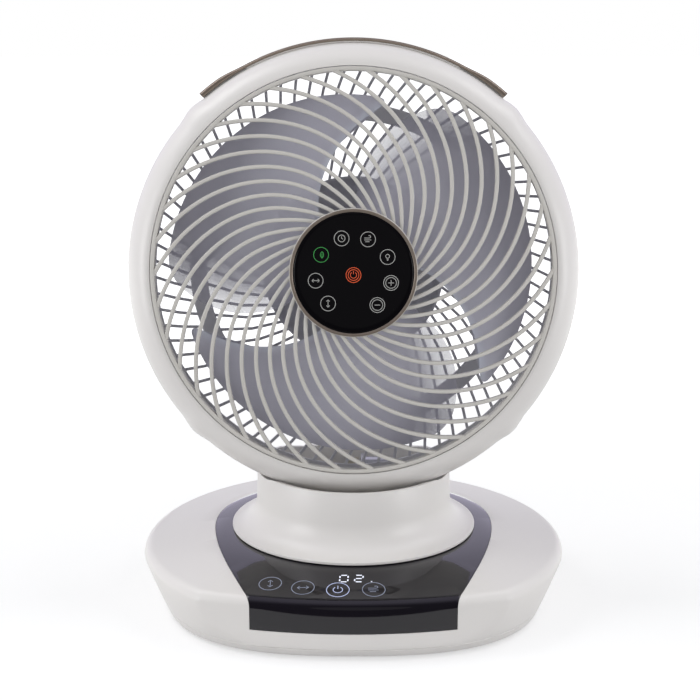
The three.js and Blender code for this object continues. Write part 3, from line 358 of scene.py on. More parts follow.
dish = {"rimRadius": 173.5, "rimHeight": 39.0, "edgeRound": 8.0, "top": 57.2, "deck": 100.0,
        "footHalf": 152.0, "footFront": 142.0, "square": 2.67, "face": 148.0,
        "faceRadius": 325.0, "split": 9.0, "steps": 352, "wall": 2.6}
panel = {"thick": 1.7, "gap": 0.3, "ring": 115.5, "ringY": 12.0, "frontHalf": 77.0, "lowEdge": 22.0,
         "hole": 94.0}


def dishRing(z, inset, rise=None):
    down = (dish["rimHeight"] - z) / dish["rimHeight"]
    half = dish["rimRadius"] + (dish["footHalf"] - dish["rimRadius"]) * down - inset
    front = dish["rimRadius"] + (dish["footFront"] - dish["rimRadius"]) * down - inset
    power = 2 + (dish["square"] - 2) * down
    face = dish["face"] - inset
    ring = []
    for i in range(dish["steps"]):
        angle = 2 * math.pi * i / dish["steps"]
        across, along = math.cos(angle), math.sin(angle)
        depth = front if along < 0 else half
        reach = (abs(across / half) ** power + abs(along / depth) ** power) ** (-1 / power)
        x = reach * across
        y = max(reach * along, x * x / (2 * dish["faceRadius"]) - face)
        ring.append((x, y, z if rise is None else rise))
    return ring


def dishSolid(name, inset, bottom):
    flank = dish["rimHeight"] - bottom
    rings = [dishRing(bottom + flank * share, inset) for share in (0, 0.15, 0.3, 0.45, 0.7)]
    for i in range(9):
        share = i / 8
        angle = share * math.pi / 2
        drawnIn = inset + dish["edgeRound"] * (1 - math.cos(angle))
        rise = dish["rimHeight"] - inset * share + (dish["edgeRound"] + 0.5) * math.sin(angle)
        rings.append(dishRing(dish["rimHeight"], drawnIn, rise))
    rimRing = rings[-1]
    for share in (0.25, 0.5, 0.75, 1.0):
        ring = []
        for i, (x, y, z) in enumerate(rimRing):
            angle = 2 * math.pi * i / dish["steps"]
            deck = (dish["deck"] * math.cos(angle), dish["deck"] * math.sin(angle), dish["top"] - inset)
            ring.append(tuple(a + (b - a) * share for a, b in zip((x, y, z), deck)))
        rings.append(ring)
    return skin(name, rings)


def bezier(a, b, c, d, count):
    points = []
    for i in range(count + 1):
        t = i / count
        weights = ((1 - t) ** 3, 3 * (1 - t) ** 2 * t, 3 * (1 - t) * t * t, t ** 3)
        points.append(tuple(sum(w * end[k] for w, end in zip(weights, (a, b, c, d))) for k in (0, 1)))
    return points


def panelPrism(name, grow, bottom):
    side, front = panel["ring"] + grow, panel["frontHalf"] + grow
    low = -dish["face"] + 7
    right = bezier((front, low), (front + 15, low + 33), (side, -45), (side, panel["ringY"]), 40)
    turns = [math.pi * i / 72 for i in range(1, 72)]
    back = [(side * math.cos(turn), panel["ringY"] + side * math.sin(turn)) for turn in turns]
    left = [(-x, y) for x, y in reversed(right)]
    outline = [(front, -180), *right, *back, *left, (-front, -180)]
    return prism(name, outline, bottom, 62)


def makeBase():
    shell = dishSolid("shell", 0, dish["split"] + 0.3)
    combine(shell, dishSolid("hollow", dish["wall"] + panel["thick"] + panel["gap"], 5))
    recess = panelPrism("recess", panel["gap"], panel["lowEdge"] - panel["gap"])
    combine(recess, dishSolid("under", panel["thick"] + panel["gap"], 1))
    combine(recess, tube("deck", panel["hole"] - 0.3, 0, 70, steps=120))
    combine(shell, recess)
    combine(shell, tube("neckHole", 23, 0, 70))
    combine(shell, block("window", (-15, -121, 42), (15, -107, 70)))
    combine(shell, block("inlet", (-7.3, 145.8, 14.7), (7.3, 170, 29.3)))
    for x in (-122, 122):
        for y in (-62, 62):
            combine(shell, moved(tube("boss", 4.8, 9.4, 43, steps=32), x, y), "UNION")
            combine(shell, moved(tube("thread", 2.1, 0, 17, steps=24), x, y))
    softenEdges(shell, 0.35, 2, 40)
    finishPiece(shell, "base_dish", swivelPlace, whiteAbs, "base", ["base_shell"])

    inlay = dishSolid("inlay", 0, 5)
    combine(inlay, panelPrism("inlayOutline", 0, panel["lowEdge"]), "INTERSECT")
    combine(inlay, dishSolid("inlayUnder", panel["thick"], 1))
    combine(inlay, tube("inlayHole", panel["hole"], 0, 70, steps=180))
    softenEdges(inlay, 0.4, 2, 40)
    finishPiece(inlay, "gloss_panel", swivelPlace, smokedAcrylic, "base", ["control_panel"])
    print("base and panel made")
    return inlay


def moved(piece, x, y):
    piece.data.transform(Matrix.Translation((x, y, 0)))
    return piece


def makeTray():
    levels = ((2, 1.0), (2.6, 0.2), (3.4, 0), (8.6, 0), (9, 0.4))
    tray = skin("tray", [dishRing(z, inset) for z, inset in levels])
    combine(tray, skin("trayInside", [dishRing(5, 3), dishRing(18, 3)]))
    for x in (-88, 88):
        for y in (-75, 75):
            combine(tray, moved(tube("padSeat", 9.3, 0, 3.3, steps=48), x, y))
    for x in (-122, 122):
        for y in (-62, 62):
            combine(tray, moved(tube("screwSeat", 3.9, 0, 3.5, steps=32), x, y))
            combine(tray, moved(tube("screwHole", 2.1, 0, 9, steps=32), x, y))
    column = turned("column", [(22.3, 4.5), (28.7, 4.5), (28.7, 39.5), (28.2, 40), (22.8, 40), (22.3, 39.5)],
                    96, "Z")
    posts = [moved(tube("post", 3, 4.5, 7.3, steps=24), x, y) for x in (-72, -32) for y in (74, 106)]
    tray = gather("tray", [tray, column, *posts])
    finishPiece(tray, "base_tray", swivelPlace, whiteAbs, "base", ["base_plate"])
    print("tray made")


inlayPiece = makeBase()
makeTray()


printSlab = {"lift": 0.12, "depth": 0.25}


# A ribbon of print of even width along a path, as a thin closed slab laid on by onto(u, v, height).
def ribbon(path, width, onto, closed=False):
    count = len(path)
    sides = []
    for i, (u, v) in enumerate(path):
        if closed:
            before, after = path[i - 1], path[(i + 1) % count]
        else:
            before, after = path[max(i - 1, 0)], path[min(i + 1, count - 1)]
        du, dv = after[0] - before[0], after[1] - before[1]
        length = math.hypot(du, dv) or 1
        nu, nv = -dv / length * width / 2, du / length * width / 2
        sides.append(((u + nu, v + nv), (u - nu, v - nv)))
    top, low = printSlab["lift"], printSlab["lift"] - printSlab["depth"]
    rings = [[onto(*a, top), onto(*b, top), onto(*b, low), onto(*a, low)] for a, b in sides]
    return skin("ribbon", rings, looped=closed)


def arc(u, v, radius, start, end, steps=20):
    turns = [math.radians(start + (end - start) * i / steps) for i in range(steps + 1)]
    return [(u + radius * math.cos(turn), v + radius * math.sin(turn)) for turn in turns]


def circle(u, v, radius, steps=36):
    return arc(u, v, radius, 0, 360 * (steps - 1) / steps, steps - 1)


# Key symbols as lists of (path, closed), drawn in a circle of radius 1.
symbols = {
    "power": [(arc(0, 0, 0.42, 125, 415), False), ([(0, 0.12), (0, 0.56)], False)],
    "plus": [([(-0.38, 0), (0.38, 0)], False), ([(0, -0.38), (0, 0.38)], False)],
    "minus": [([(-0.38, 0), (0.38, 0)], False)],
    "clock": [(circle(0, 0, 0.46, 24), True), ([(0, 0.28), (0, 0), (0.2, -0.1)], False)],
    "swing": [([(-0.5, 0), (0.5, 0)], False), ([(-0.28, 0.22), (-0.5, 0), (-0.28, -0.22)], False),
              ([(0.28, 0.22), (0.5, 0), (0.28, -0.22)], False)],
    "lift": [([(0, -0.5), (0, 0.5)], False), ([(-0.22, 0.28), (0, 0.5), (0.22, 0.28)], False),
             ([(-0.22, -0.28), (0, -0.5), (0.22, -0.28)], False)],
    "wind": [([(-0.5, 0.18), (0.2, 0.18)] + arc(0.2, 0.34, 0.16, -90, 140, 8), False),
             ([(-0.5, -0.08), (0.42, -0.08)], False), ([(-0.35, -0.32), (0.2, -0.32)], False)],
    "leaf": [(arc(-0.16, 0, 0.5, -55, 55, 12) + arc(0.4, 0, 0.5, 125, 235, 12), True),
             ([(0.12, -0.5), (0.12, 0.2)], False)],
    "lamp": [(circle(0, 0.1, 0.26, 20), True), ([(-0.12, -0.3), (0.12, -0.3)], False),
             ([(-0.08, -0.44), (0.08, -0.44)], False)],
}


def keyPrint(u, v, radius, symbol, width, onto):
    parts = [ribbon(circle(u, v, radius), width, onto, closed=True)]
    for path, closed in symbols[symbol]:
        placed = [(u + a * radius, v + b * radius) for a, b in path]
        parts.append(ribbon(placed, width, onto, closed=closed))
    return parts


segmentEnds = {"a": ((0, 1), (1, 1)), "b": ((1, 1), (1, 0.5)), "c": ((1, 0.5), (1, 0)), "d": ((0, 0), (1, 0)),
               "e": ((0, 0.5), (0, 0)), "f": ((0, 1), (0, 0.5)), "g": ((0, 0.5), (1, 0.5))}
digitSegments = {"0": "abcdef", "2": "abged"}
panelKeys = {"radius": 8.6, "line": 0.55, "lit": [(-11.8, -129.4, "power")],
             "places": [(-63.4, -118.5, "lift"), (-38.3, -125.6, "swing"), (15.3, -128.9, "wind")]}
display = {"left": -10.6, "bottom": -119.6, "width": 6.2, "height": 8.2, "step": 11.4, "slant": 0.05,
           "line": 1.05, "gap": 0.9, "point": 13.2, "top": 90, "blank": 50}


def makePanelPrint():
    tree = BVHTree.FromPolygons([vertex.co.copy() for vertex in inlayPiece.data.vertices],
                                [tuple(face.vertices) for face in inlayPiece.data.polygons])

    def onPanel(u, v, lift):
        above = Vector((u, v + layout["swivelY"], display["top"])) * 0.001
        hit = tree.ray_cast(above, Vector((0, 0, -1)))
        height = hit[0].z * 1000 if hit[0] is not None else display["blank"]
        return (u, v, height + lift)

    for name, finish, places in (("panel_keys", paleLine, panelKeys["places"]),
                                 ("panel_key_power", litLine, panelKeys["lit"])):
        keys = []
        for u, v, symbol in places:
            keys += keyPrint(u, v, panelKeys["radius"], symbol, panelKeys["line"], onPanel)
        finishPiece(gather(name, keys), name, swivelPlace, finish, "base")
    digits = []
    for place, digit in enumerate("02"):
        for segment in digitSegments[digit]:
            ends = []
            (au, av), (bu, bv) = segmentEnds[segment]
            length = math.hypot((bu - au) * display["width"], (bv - av) * display["height"])
            trim = display["gap"] / length
            for t in (trim, 0.35, 0.65, 1 - trim):
                u, v = au + (bu - au) * t, av + (bv - av) * t
                x = display["left"] + place * display["step"] + u * display["width"]
                y = v * display["height"]
                ends.append((x + y * display["slant"], display["bottom"] + y))
            digits.append(ribbon(ends, display["line"], onPanel))
    point, low = display["point"], display["bottom"] + display["line"] / 2
    digits.append(ribbon([(point, low), (point + 1, low)], display["line"], onPanel))
    finishPiece(gather("digits", digits), "display_digits", swivelPlace, lampWhite, "base")
    print("panel print made")


makePanelPrint()


neck = {"boss": 22.0, "bossLow": 20.0, "floor": 57.8, "floorTop": 61.0, "radius": 80.0, "rim": 109.0,
        "taper": 0.7, "wall": 3.0, "flare": 100.5, "flareEdge": 2.2, "flareRise": 24.0, "bore": 9.0}
shellSize = {"radius": 180.0, "swell": 2.2, "crease": 5.5, "bezel": 159.2, "bezelDepth": 34.0,
             "front": -38.0, "rear": 34.0, "rearRadius": 170.5, "rearRound": 24.0, "wall": 3.0, "steps": 360}


def shellOutline(inset, steps):
    points = []
    depth = shellSize["bezelDepth"]
    for i in range(steps + 1):
        angle = math.pi / 2 * i / steps
        reach = shellSize["radius"] - shellSize["bezel"] - inset
        points.append((shellSize["bezel"] + reach * math.sin(angle),
                       shellSize["front"] + depth - (depth - inset) * math.cos(angle)))
    for i in range(steps):
        angle = math.pi / 2 * i / (steps - 1)
        reach = shellSize["radius"] - shellSize["rearRadius"]
        points.append((shellSize["rearRadius"] - inset + reach * math.cos(angle),
                       shellSize["rear"] - shellSize["rearRound"] * (1 - math.sin(angle))))
    return points


# The round shell has a soft crease swollen at each of its four corners, most where it is widest.
def swollen(point):
    radius = math.hypot(point.x, point.z)
    share = min(max((radius - shellSize["bezel"]) / (shellSize["radius"] - 3 - shellSize["bezel"]), 0), 1)
    widest = share * share * (3 - 2 * share)
    away = abs(math.degrees(math.atan2(abs(point.z), abs(point.x))) - 45)
    corner = math.cos(math.pi / 2 * min(away / shellSize["crease"], 1)) ** 2
    grown = 1 + shellSize["swell"] * widest * corner / max(radius, 1)
    return Vector((point.x * grown, point.y, point.z * grown))


# The room that the head sweeps when it leans back by so many degrees, about the swivel axis.
# Behind the shell it clears the rear guard's band and cap.
def headRoom(lean):
    gap = 2.2
    profile = [(0, -52), *shellOutline(-gap, 8), (172.7, 36.2), (139.2, 61), (0, 77.2)]
    room = turned("room", profile, 144, reshape=swollen)
    leaning = Matrix.Rotation(math.radians(-layout["headLean"]), 4, "X")
    atRest = Matrix.Translation((0, 0, layout["headHeight"])) @ leaning
    pivot = Matrix.Translation((0, layout["pivotY"], layout["pivotHeight"]))
    room.data.transform(pivot @ Matrix.Rotation(math.radians(-lean), 4, "X") @ pivot.inverted() @ atRest)
    return room


def makeNeck():
    wall, radius, boss = neck["wall"], neck["radius"], neck["boss"]
    floor, flare = neck["floor"], neck["flare"]
    profile = [(boss, floor), (boss, neck["bossLow"]), (boss - wall, neck["bossLow"]), (boss - wall, floor),
               (neck["bore"], floor), (neck["bore"], neck["floorTop"]), (radius - wall, neck["floorTop"]),
               (radius - neck["taper"] - wall, neck["rim"]), (radius - neck["taper"], neck["rim"])]
    edge = floor + neck["flareEdge"]
    reach = flare - radius
    for i in range(20, -1, -1):
        angle = math.pi / 2 * i / 20
        profile.append((flare - reach * math.sin(angle), edge + neck["flareRise"] * (1 - math.cos(angle))))
    profile += [(flare, edge - 0.7), (flare, floor + 0.4), (flare - 0.5, floor)]
    collar = turned("collar", profile, 240, "Z")
    for lean in (0, 10, 50):
        combine(collar, headRoom(lean))
    softenEdges(collar, 0.5, 2, 45)
    finishPiece(collar, "neck_collar", swivelPlace, whiteAbs, "neck", ["neck_shell"], 28)
    print("neck made")


makeNeck()


strap = {"inner": 180.3, "thick": 4.2, "endThick": 6.0, "thicken": 28.0, "spread": 41.0, "front": -16.0,
         "width": 38.0, "edge": 1.4}
grip = {"floor": 171.0, "spread": 28.0}


def topSector(name, inner, outer, spread, front, rear, steps=72):
    rings = []
    for i in range(steps + 1):
        angle = math.radians(90 - spread + 2 * spread * i / steps)
        rings.append([(r * math.cos(angle), y, r * math.sin(angle))
                      for r, y in ((inner, front), (outer, front), (outer, rear), (inner, rear))])
    return skin(name, rings)


def makeHeadShell():
    inner = list(reversed(shellOutline(shellSize["wall"], 12)))
    shell = turned("shell", [*shellOutline(0, 20), *inner], shellSize["steps"], reshape=swollen)
    lining = topSector("lining", grip["floor"] - 3, shellSize["radius"] - 1, grip["spread"] + 1.2, -3, 33.99)
    blank = turned("blank", [(0, -38), *shellOutline(0, 20), (0, 34)], shellSize["steps"], reshape=swollen)
    combine(lining, blank, "INTERSECT")
    combine(shell, lining, "UNION")
    combine(shell, topSector("grip", grip["floor"], 196, grip["spread"], 0, 37))
    seat = topSector("seat", strap["inner"] - 0.3, 196, strap["spread"] + 0.15, strap["front"] - 0.3,
                     strap["front"] + strap["width"] + 0.3, 120)
    combine(shell, seat)
    softenEdges(shell, 0.6, 2, 50)
    finishPiece(shell, "head_drum", headPlace, whiteAbs, "head", ["head_shell"], 28)
    print("head shell made")


def makeStrap():
    inner = strap["inner"]
    front, rear, edge = strap["front"], strap["front"] + strap["width"], strap["edge"]
    rings = []
    steps = 120
    for i in range(-3, steps + 4):
        along = min(max(i, 0), steps) / steps
        beyond = max(-i, i - steps, 0)
        shrink = edge * (1 - math.cos(math.radians(30 * beyond)))
        spread = math.radians(strap["spread"]) - edge / inner
        angle = math.pi / 2 - spread + 2 * spread * along
        past = edge * math.sin(math.radians(30 * beyond)) / inner
        angle += past if i > steps else -past
        away = abs(math.degrees(angle) - 90)
        share = min(max((away - strap["thicken"]) / (strap["spread"] - 5 - strap["thicken"]), 0), 1)
        thicker = (strap["endThick"] - strap["thick"]) * share * share * (3 - 2 * share)
        outer = inner + strap["thick"] + thicker
        corners = [(outer - edge, rear - edge, 0), (outer - edge, front + edge, 90),
                   (inner + edge, front + edge, 180), (inner + edge, rear - edge, 270)]
        ring = []
        for radius, y, start in corners:
            for j in range(5):
                turn = math.radians(start + 22.5 * j)
                reach = max(edge - shrink, 0.02)
                r, yy = radius + reach * math.cos(turn), y + reach * math.sin(turn)
                ring.append((r * math.cos(angle), yy, r * math.sin(angle)))
        rings.append(ring)
    band = skin("band", rings)
    finishPiece(band, "carry_strap", headPlace, bronzePaint, "head", ["handle_strap"], 40)
    print("strap made")


makeHeadShell()
makeStrap()


frontGrille = {"ribs": 38, "width": 3.0, "depth": 4.6, "turn": 0.64, "easeRadius": 69.4, "ease": 0.0103,
               "first": 11.7, "front": -40.0, "dome": 14.0, "domePower": 1.6, "ringOuter": 158.4,
               "ringWidth": 3.2, "ringDepth": 9.0, "dock": 49.6, "dockWall": 2.6, "dockDepth": 7.6, "steps": 26}
rearGrille = {"outerBars": 76, "innerBars": 58, "width": 2.4, "depth": 2.8, "frameInner": 162.5,
              "frameOuter": 167.2, "frameFront": 30.0, "frameBack": 34.0, "bandOuter": 137.0,
              "bandInner": 123.0, "bandFront": 53.0, "bandBack": 58.8, "cap": 77.0, "capFront": 67.0,
              "capBack": 75.0, "capWall": 3.0}


def ribAngle(radius):
    g = frontGrille
    within = max(0, g["easeRadius"] - radius)
    return math.radians(g["first"] + g["turn"] * (radius - g["easeRadius"]) - g["ease"] * within ** 2)


# A bar with rounded front edges through stations of (radius, angle, front, lean, width).
def bar(name, stations, depth):
    rings = []
    for radius, angle, front, lean, width in stations:
        half, soft = width / 2, min(width * 0.3, 1.0)
        section = [(-half, depth), (-half, soft), (-half + soft * 0.3, soft * 0.3), (-half + soft, 0),
                   (half - soft, 0), (half - soft * 0.3, soft * 0.3), (half, soft), (half, depth)]
        ring = []
        for across, deep in section:
            x = radius * math.cos(angle) - across * math.sin(angle + lean)
            z = radius * math.sin(angle) + across * math.cos(angle + lean)
            ring.append((x, front + deep, z))
        rings.append(ring)
    return skin(name, rings)


def makeFrontGrille():
    g = frontGrille
    hubFront = g["front"] - g["dome"]
    inner, outer = g["ringOuter"] - g["ringWidth"], g["ringOuter"]
    front, back = g["front"], g["front"] + g["ringDepth"]
    ring = turned("ring", [(inner, back + 0.5), (inner, front + 0.8), (inner + 0.3, front + 0.2),
                           (inner + 0.9, front), (outer - 0.9, front), (outer - 0.3, front + 0.2),
                           (outer, front + 0.8), (outer, back)], 304)
    floor = hubFront + g["dockDepth"] - g["dockWall"]
    rim, edge, under = g["dock"] - g["dockWall"], g["dock"], floor + g["dockWall"]
    dock = turned("dock", [(0, floor), (rim, floor), (rim, hubFront + 0.5), (rim + 0.5, hubFront),
                           (edge - 0.6, hubFront), (edge, hubFront + 0.6), (edge, under - 0.8),
                           (edge - 0.6, under), (0, under)], 152)
    stations = []
    for i in range(g["steps"] + 1):
        share = i / g["steps"]
        start = g["dock"] - g["dockWall"] / 2
        radius = start + (inner + 1.2 - start) * share
        lean = math.atan((ribAngle(radius + 0.5) - ribAngle(radius - 0.5)) * radius)
        rise = (radius - g["dock"]) / (inner - g["dock"])
        face = hubFront + (front - hubFront) * max(rise, 0) ** g["domePower"] + 0.6
        stations.append((radius, ribAngle(radius), face, lean, g["width"]))
    rib = bar("rib", stations, g["depth"])
    ribs = ringOfCopies("spiral ribs", rib, g["ribs"], greyAbs)
    grille = gather("grille", [ring, dock, ribs])
    finishPiece(grille, "spiral_grille", headPlace, greyAbs, "head", ["front_grille"], 40)
    print("front grille made")


def straightBar(name, inner, outer, innerAngle, outerAngle, innerFront, outerFront, width, depth):
    lean = math.atan((outerAngle - innerAngle) * (inner + outer) / 2 / (outer - inner))
    stations = []
    for share in (0, 0.5, 1):
        radius = inner - 0.8 + (outer - inner + 1.6) * share
        stations.append((radius, innerAngle + (outerAngle - innerAngle) * share,
                         innerFront + (outerFront - innerFront) * share, lean, width))
    return bar(name, stations, depth)


def makeRearGrille():
    g = rearGrille
    inner, outer, front, back = g["frameInner"], g["frameOuter"], g["frameFront"], g["frameBack"]
    rim = turned("rim", [(inner, back - 0.6), (inner, front + 0.4), (inner + 0.4, front), (outer - 0.2, front),
                         (outer, front + 0.2), (outer, back - 0.4), (outer - 0.4, back), (inner + 0.5, back)],
                 304)
    inner, outer, front, back = g["bandInner"], g["bandOuter"], g["bandFront"], g["bandBack"]
    band = turned("band", [(inner + 0.6, front), (outer - 0.6, front), (outer, front + 0.6),
                           (outer, back - 0.8), (outer - 0.8, back), (inner + 0.8, back),
                           (inner, back - 0.8), (inner, front + 0.6)], 228)
    edge, front, back = g["cap"], g["capFront"], g["capBack"]
    hollow = back - g["capWall"]
    cap = turned("cap", [(0, hollow), (edge - 8.4, hollow), (edge - 7, hollow - 0.5), (edge - 3, front + 0.4),
                         (edge - 2, front), (edge - 0.5, front), (edge, front + 0.5),
                         (edge - 0.2, front + 1.5), (edge - 5.4, back - 0.6), (edge - 6.6, back), (0, back)], 174)
    outerStep, innerStep = 2 * math.pi / g["outerBars"], 2 * math.pi / g["innerBars"]
    outerBar = straightBar("outer", g["bandOuter"], g["frameInner"], outerStep / 2, -outerStep / 2,
                           g["bandFront"] + 1, g["frameFront"] + 0.6, g["width"], g["depth"])
    innerBar = straightBar("inner", g["cap"], g["bandInner"], 0, -2 * innerStep,
                           g["capFront"] + 0.6, g["bandFront"] + 1, g["width"], g["depth"])
    outerBars = ringOfCopies("rear outer bars", outerBar, g["outerBars"], rearAbs)
    innerBars = ringOfCopies("rear inner bars", innerBar, g["innerBars"], rearAbs)
    grille = gather("rearGrille", [rim, band, cap, outerBars, innerBars])
    finishPiece(grille, "rear_guard", headPlace, rearAbs, "head", ["rear_grille"], 40)
    print("rear grille made")


makeFrontGrille()
makeRearGrille()


remote = {"back": -49.3, "front": -57.7, "edge": 49.0, "face": 46.6, "body": 46.4, "flange": 48.0,
          "flangeBack": -54.3, "flangeFront": -55.2, "key": 5.7, "line": 0.5,
          "doubled": ("power", "plus", "minus"), "innerRing": 0.72,
          "places": [(-9.1, 26.5, "clock"), (11.1, 25.8, "wind"), (26.1, 12.3, "lamp"),
                     (-29.0, -5.8, "swing"), (28.8, -7.5, "plus"), (-19.5, -23.3, "lift"),
                     (18.3, -24.5, "minus")],
          "leaf": [(-24.8, 14.0, "leaf")], "power": [(0.0, -1.5, "power")]}


def makeRemote():
    back, front, face = remote["back"], remote["front"], remote["face"]
    side, flange = remote["body"], remote["flange"]
    flangeBack, flangeFront = remote["flangeBack"], remote["flangeFront"]
    edge = face - 0.3
    body = turned("body", [(0, back), (side - 1.2, back), (side - 0.3, back - 0.4), (side, back - 1.2),
                           (side, flangeBack), (flange, flangeBack), (flange, flangeFront),
                           (edge, flangeFront), (edge, front + 1.9), (0, front + 1.9)], 144)
    finishPiece(body, "remote_puck", headPlace, darkAbs, "remote", ["remote_body"], 40)
    outer, trimBack = remote["edge"], flangeFront - 0.3
    trim = turned("trim", [(face, trimBack), (face, front + 0.5), (face + 0.25, front + 0.15),
                           (face + 0.7, front), (outer - 0.9, front), (outer - 0.3, front + 0.2),
                           (outer, front + 0.7), (outer, trimBack)], 144)
    finishPiece(trim, "remote_rim", headPlace, bronzePaint, "remote", ["remote_trim"], 40)
    lid = turned("lid", [(0, front), (edge - 4, front + 0.02), (edge - 1.2, front + 0.15),
                         (edge - 0.4, front + 0.45), (edge, front + 1), (edge, front + 1.6),
                         (0, front + 1.6)], 144)
    finishPiece(lid, "remote_lid", headPlace, remoteAcrylic, "remote", ["remote_face"], 50)

    def onLid(u, v, lift):
        return (u, front - lift, v)

    groups = [("remote_keys", ashLine, remote["places"]), ("remote_key_leaf", greenPrint, remote["leaf"]),
              ("remote_key_power", redPrint, remote["power"])]
    for name, finish, keys in groups:
        parts = []
        for u, v, symbol in keys:
            parts += keyPrint(u, v, remote["key"], symbol, remote["line"], onLid)
            if symbol in remote["doubled"]:
                ring = circle(u, v, remote["key"] * remote["innerRing"])
                parts.append(ribbon(ring, remote["line"], onLid, closed=True))
        finishPiece(gather(name, parts), name, headPlace, finish, "remote")
    print("remote made")


makeRemote()


rotor = {"blades": 3, "middle": 70.0, "frontAngle": 112.1, "frontSweep": 0.527, "rearAngle": 206.5,
         "rearSweep": 0.13, "rearCurl": 0.0023, "tip": 144.0, "growth": 14.0, "pitch": 36.0, "camber": 6.0,
         "rootPitch": 0.62, "thick": 2.2, "tipRound": 9.0, "tipArc": 190.0, "span": 104,
         "hub": 40.0, "hubFront": -20.0, "hubDepth": 30.0}


# Angles in degrees of a blade's near and far edges at a radius, seen from the front.
def bladeEdges(radius):
    beyond = radius - rotor["middle"]
    return (rotor["frontAngle"] - rotor["frontSweep"] * beyond,
            rotor["rearAngle"] - rotor["rearSweep"] * beyond - rotor["rearCurl"] * beyond ** 2)


def bladePoint(outwards, along):
    r = rotor
    radius = r["hub"] - 4 + (r["tip"] + r["growth"] * (along - 0.5) - r["hub"] + 4) * outwards
    frontEdge, rearEdge = bladeEdges(radius)
    angle = math.radians(frontEdge + (rearEdge - frontEdge) * along)
    rise = r["pitch"] * (r["rootPitch"] + (1 - r["rootPitch"]) * outwards) * (along - 0.5)
    y = r["hubFront"] + r["hubDepth"] / 2 + rise + r["camber"] * math.sin(along * math.pi) * outwards
    return radius, angle, y


# The tip's corners are rounded by drawing the outermost points in near the two edges.
def tipShare(along):
    inwards = rotor["tipArc"] * min(along, 1 - along)
    if inwards >= rotor["tipRound"]:
        return 1.0
    missing = rotor["tipRound"] - math.sqrt(rotor["tipRound"] ** 2 - (rotor["tipRound"] - inwards) ** 2)
    return 1 - missing / rotor["span"]


def makeBlade():
    rings = []
    for i in range(29):
        near, far = [], []
        for j in range(49):
            along = (1 - math.cos(math.pi * j / 48)) / 2
            radius, angle, y = bladePoint(i / 28 * tipShare(along), along)
            thick = rotor["thick"] * min(1, 0.4 + 12 * min(along, 1 - along)) / 2
            if i == 28:
                thick *= 0.5
            near.append((radius * math.cos(angle), y - thick, radius * math.sin(angle)))
            far.append((radius * math.cos(angle), y + thick, radius * math.sin(angle)))
        rings.append(near + far[::-1])
    return skin("blade", rings)


# Marks each point with its share of the way from a blade's near edge, 0, to its far edge, 1.
def markBlades(wheel):
    mark = wheel.data.attributes.new("along", "FLOAT", "POINT")
    for i, vertex in enumerate(wheel.data.vertices):
        radius = math.hypot(vertex.co.x, vertex.co.z)
        frontEdge, rearEdge = bladeEdges(radius)
        turn = math.degrees(math.atan2(vertex.co.z, vertex.co.x))
        angle = (turn - frontEdge + 5) % (360 / rotor["blades"]) - 5
        share = min(max(angle / (rearEdge - frontEdge), 0), 1)
        mark.data[i].value = share if radius > rotor["hub"] + 2 else 0.4


def makeRotor():
    front, back, hub = rotor["hubFront"], rotor["hubFront"] + rotor["hubDepth"], rotor["hub"]
    cup = turned("cup", [(4.3, front), (hub - 5, front), (hub - 2.2, front + 0.8), (hub - 0.6, front + 2.4),
                         (hub, front + 5), (hub, back), (hub - 2.5, back), (hub - 2.5, front + 8),
                         (4.3, front + 8)], 120)
    blade = makeBlade()
    combine(blade, turned("inside", [(0, -50), (33.7, -50), (33.7, front + 4), (hub - 1.3, front + 9),
                                     (hub - 1.3, 60), (0, 60)], 96))
    blades = ringOfCopies("blades", blade, rotor["blades"], frostedResin)
    wheel = gather("wheel", [cup, blades])
    markBlades(wheel)
    finishPiece(wheel, "fan_wheel", headPlace, frostedResin, "impeller", ["impeller"], 35)
    can = turned("can", [(4.3, 21.7), (33, 21.7), (34.6, 22.3), (36, 24.7), (36, 71.7), (34, 71.7),
                         (34, 29.7), (4.3, 29.7)], 120)
    finishPiece(can, "motor_can", headPlace, darkAbs, "head", ["motor_housing"], 35)
    print("rotor and motor made")


makeRotor()


# Metres and watts here. The floor ends just below the picture, so that the gloss there mirrors the
# dark side of the room.
studio = {"paper": "#CBCBCC", "glow": 0.5, "farGlow": 1.0, "near": 0.4, "far": 1.1, "world": 0.47,
          "sky": "#F6F7FA", "seen": "#E2DDF4", "dim": 0.1, "half": 6, "frontEdge": -0.26, "backEdge": 10,
          "lampSize": 1.4, "aim": 0.22,
          "lamps": [("top left", (-1.5, 0.2, 2.1), 17.0), ("top right", (1.5, 0.2, 2.0), 12.0),
                    ("left", (-2.2, -1.3, 0.5), 22.0), ("right", (2.2, -1.3, 0.5), 20.0),
                    ("front", (0.1, -2.6, 0.9), 1.0)]}
camera = {"sensor": 36, "focus": 1516.0, "image": 700, "shift": -0.005, "away": 1.2, "height": 0.4917,
          "down": 13.43}


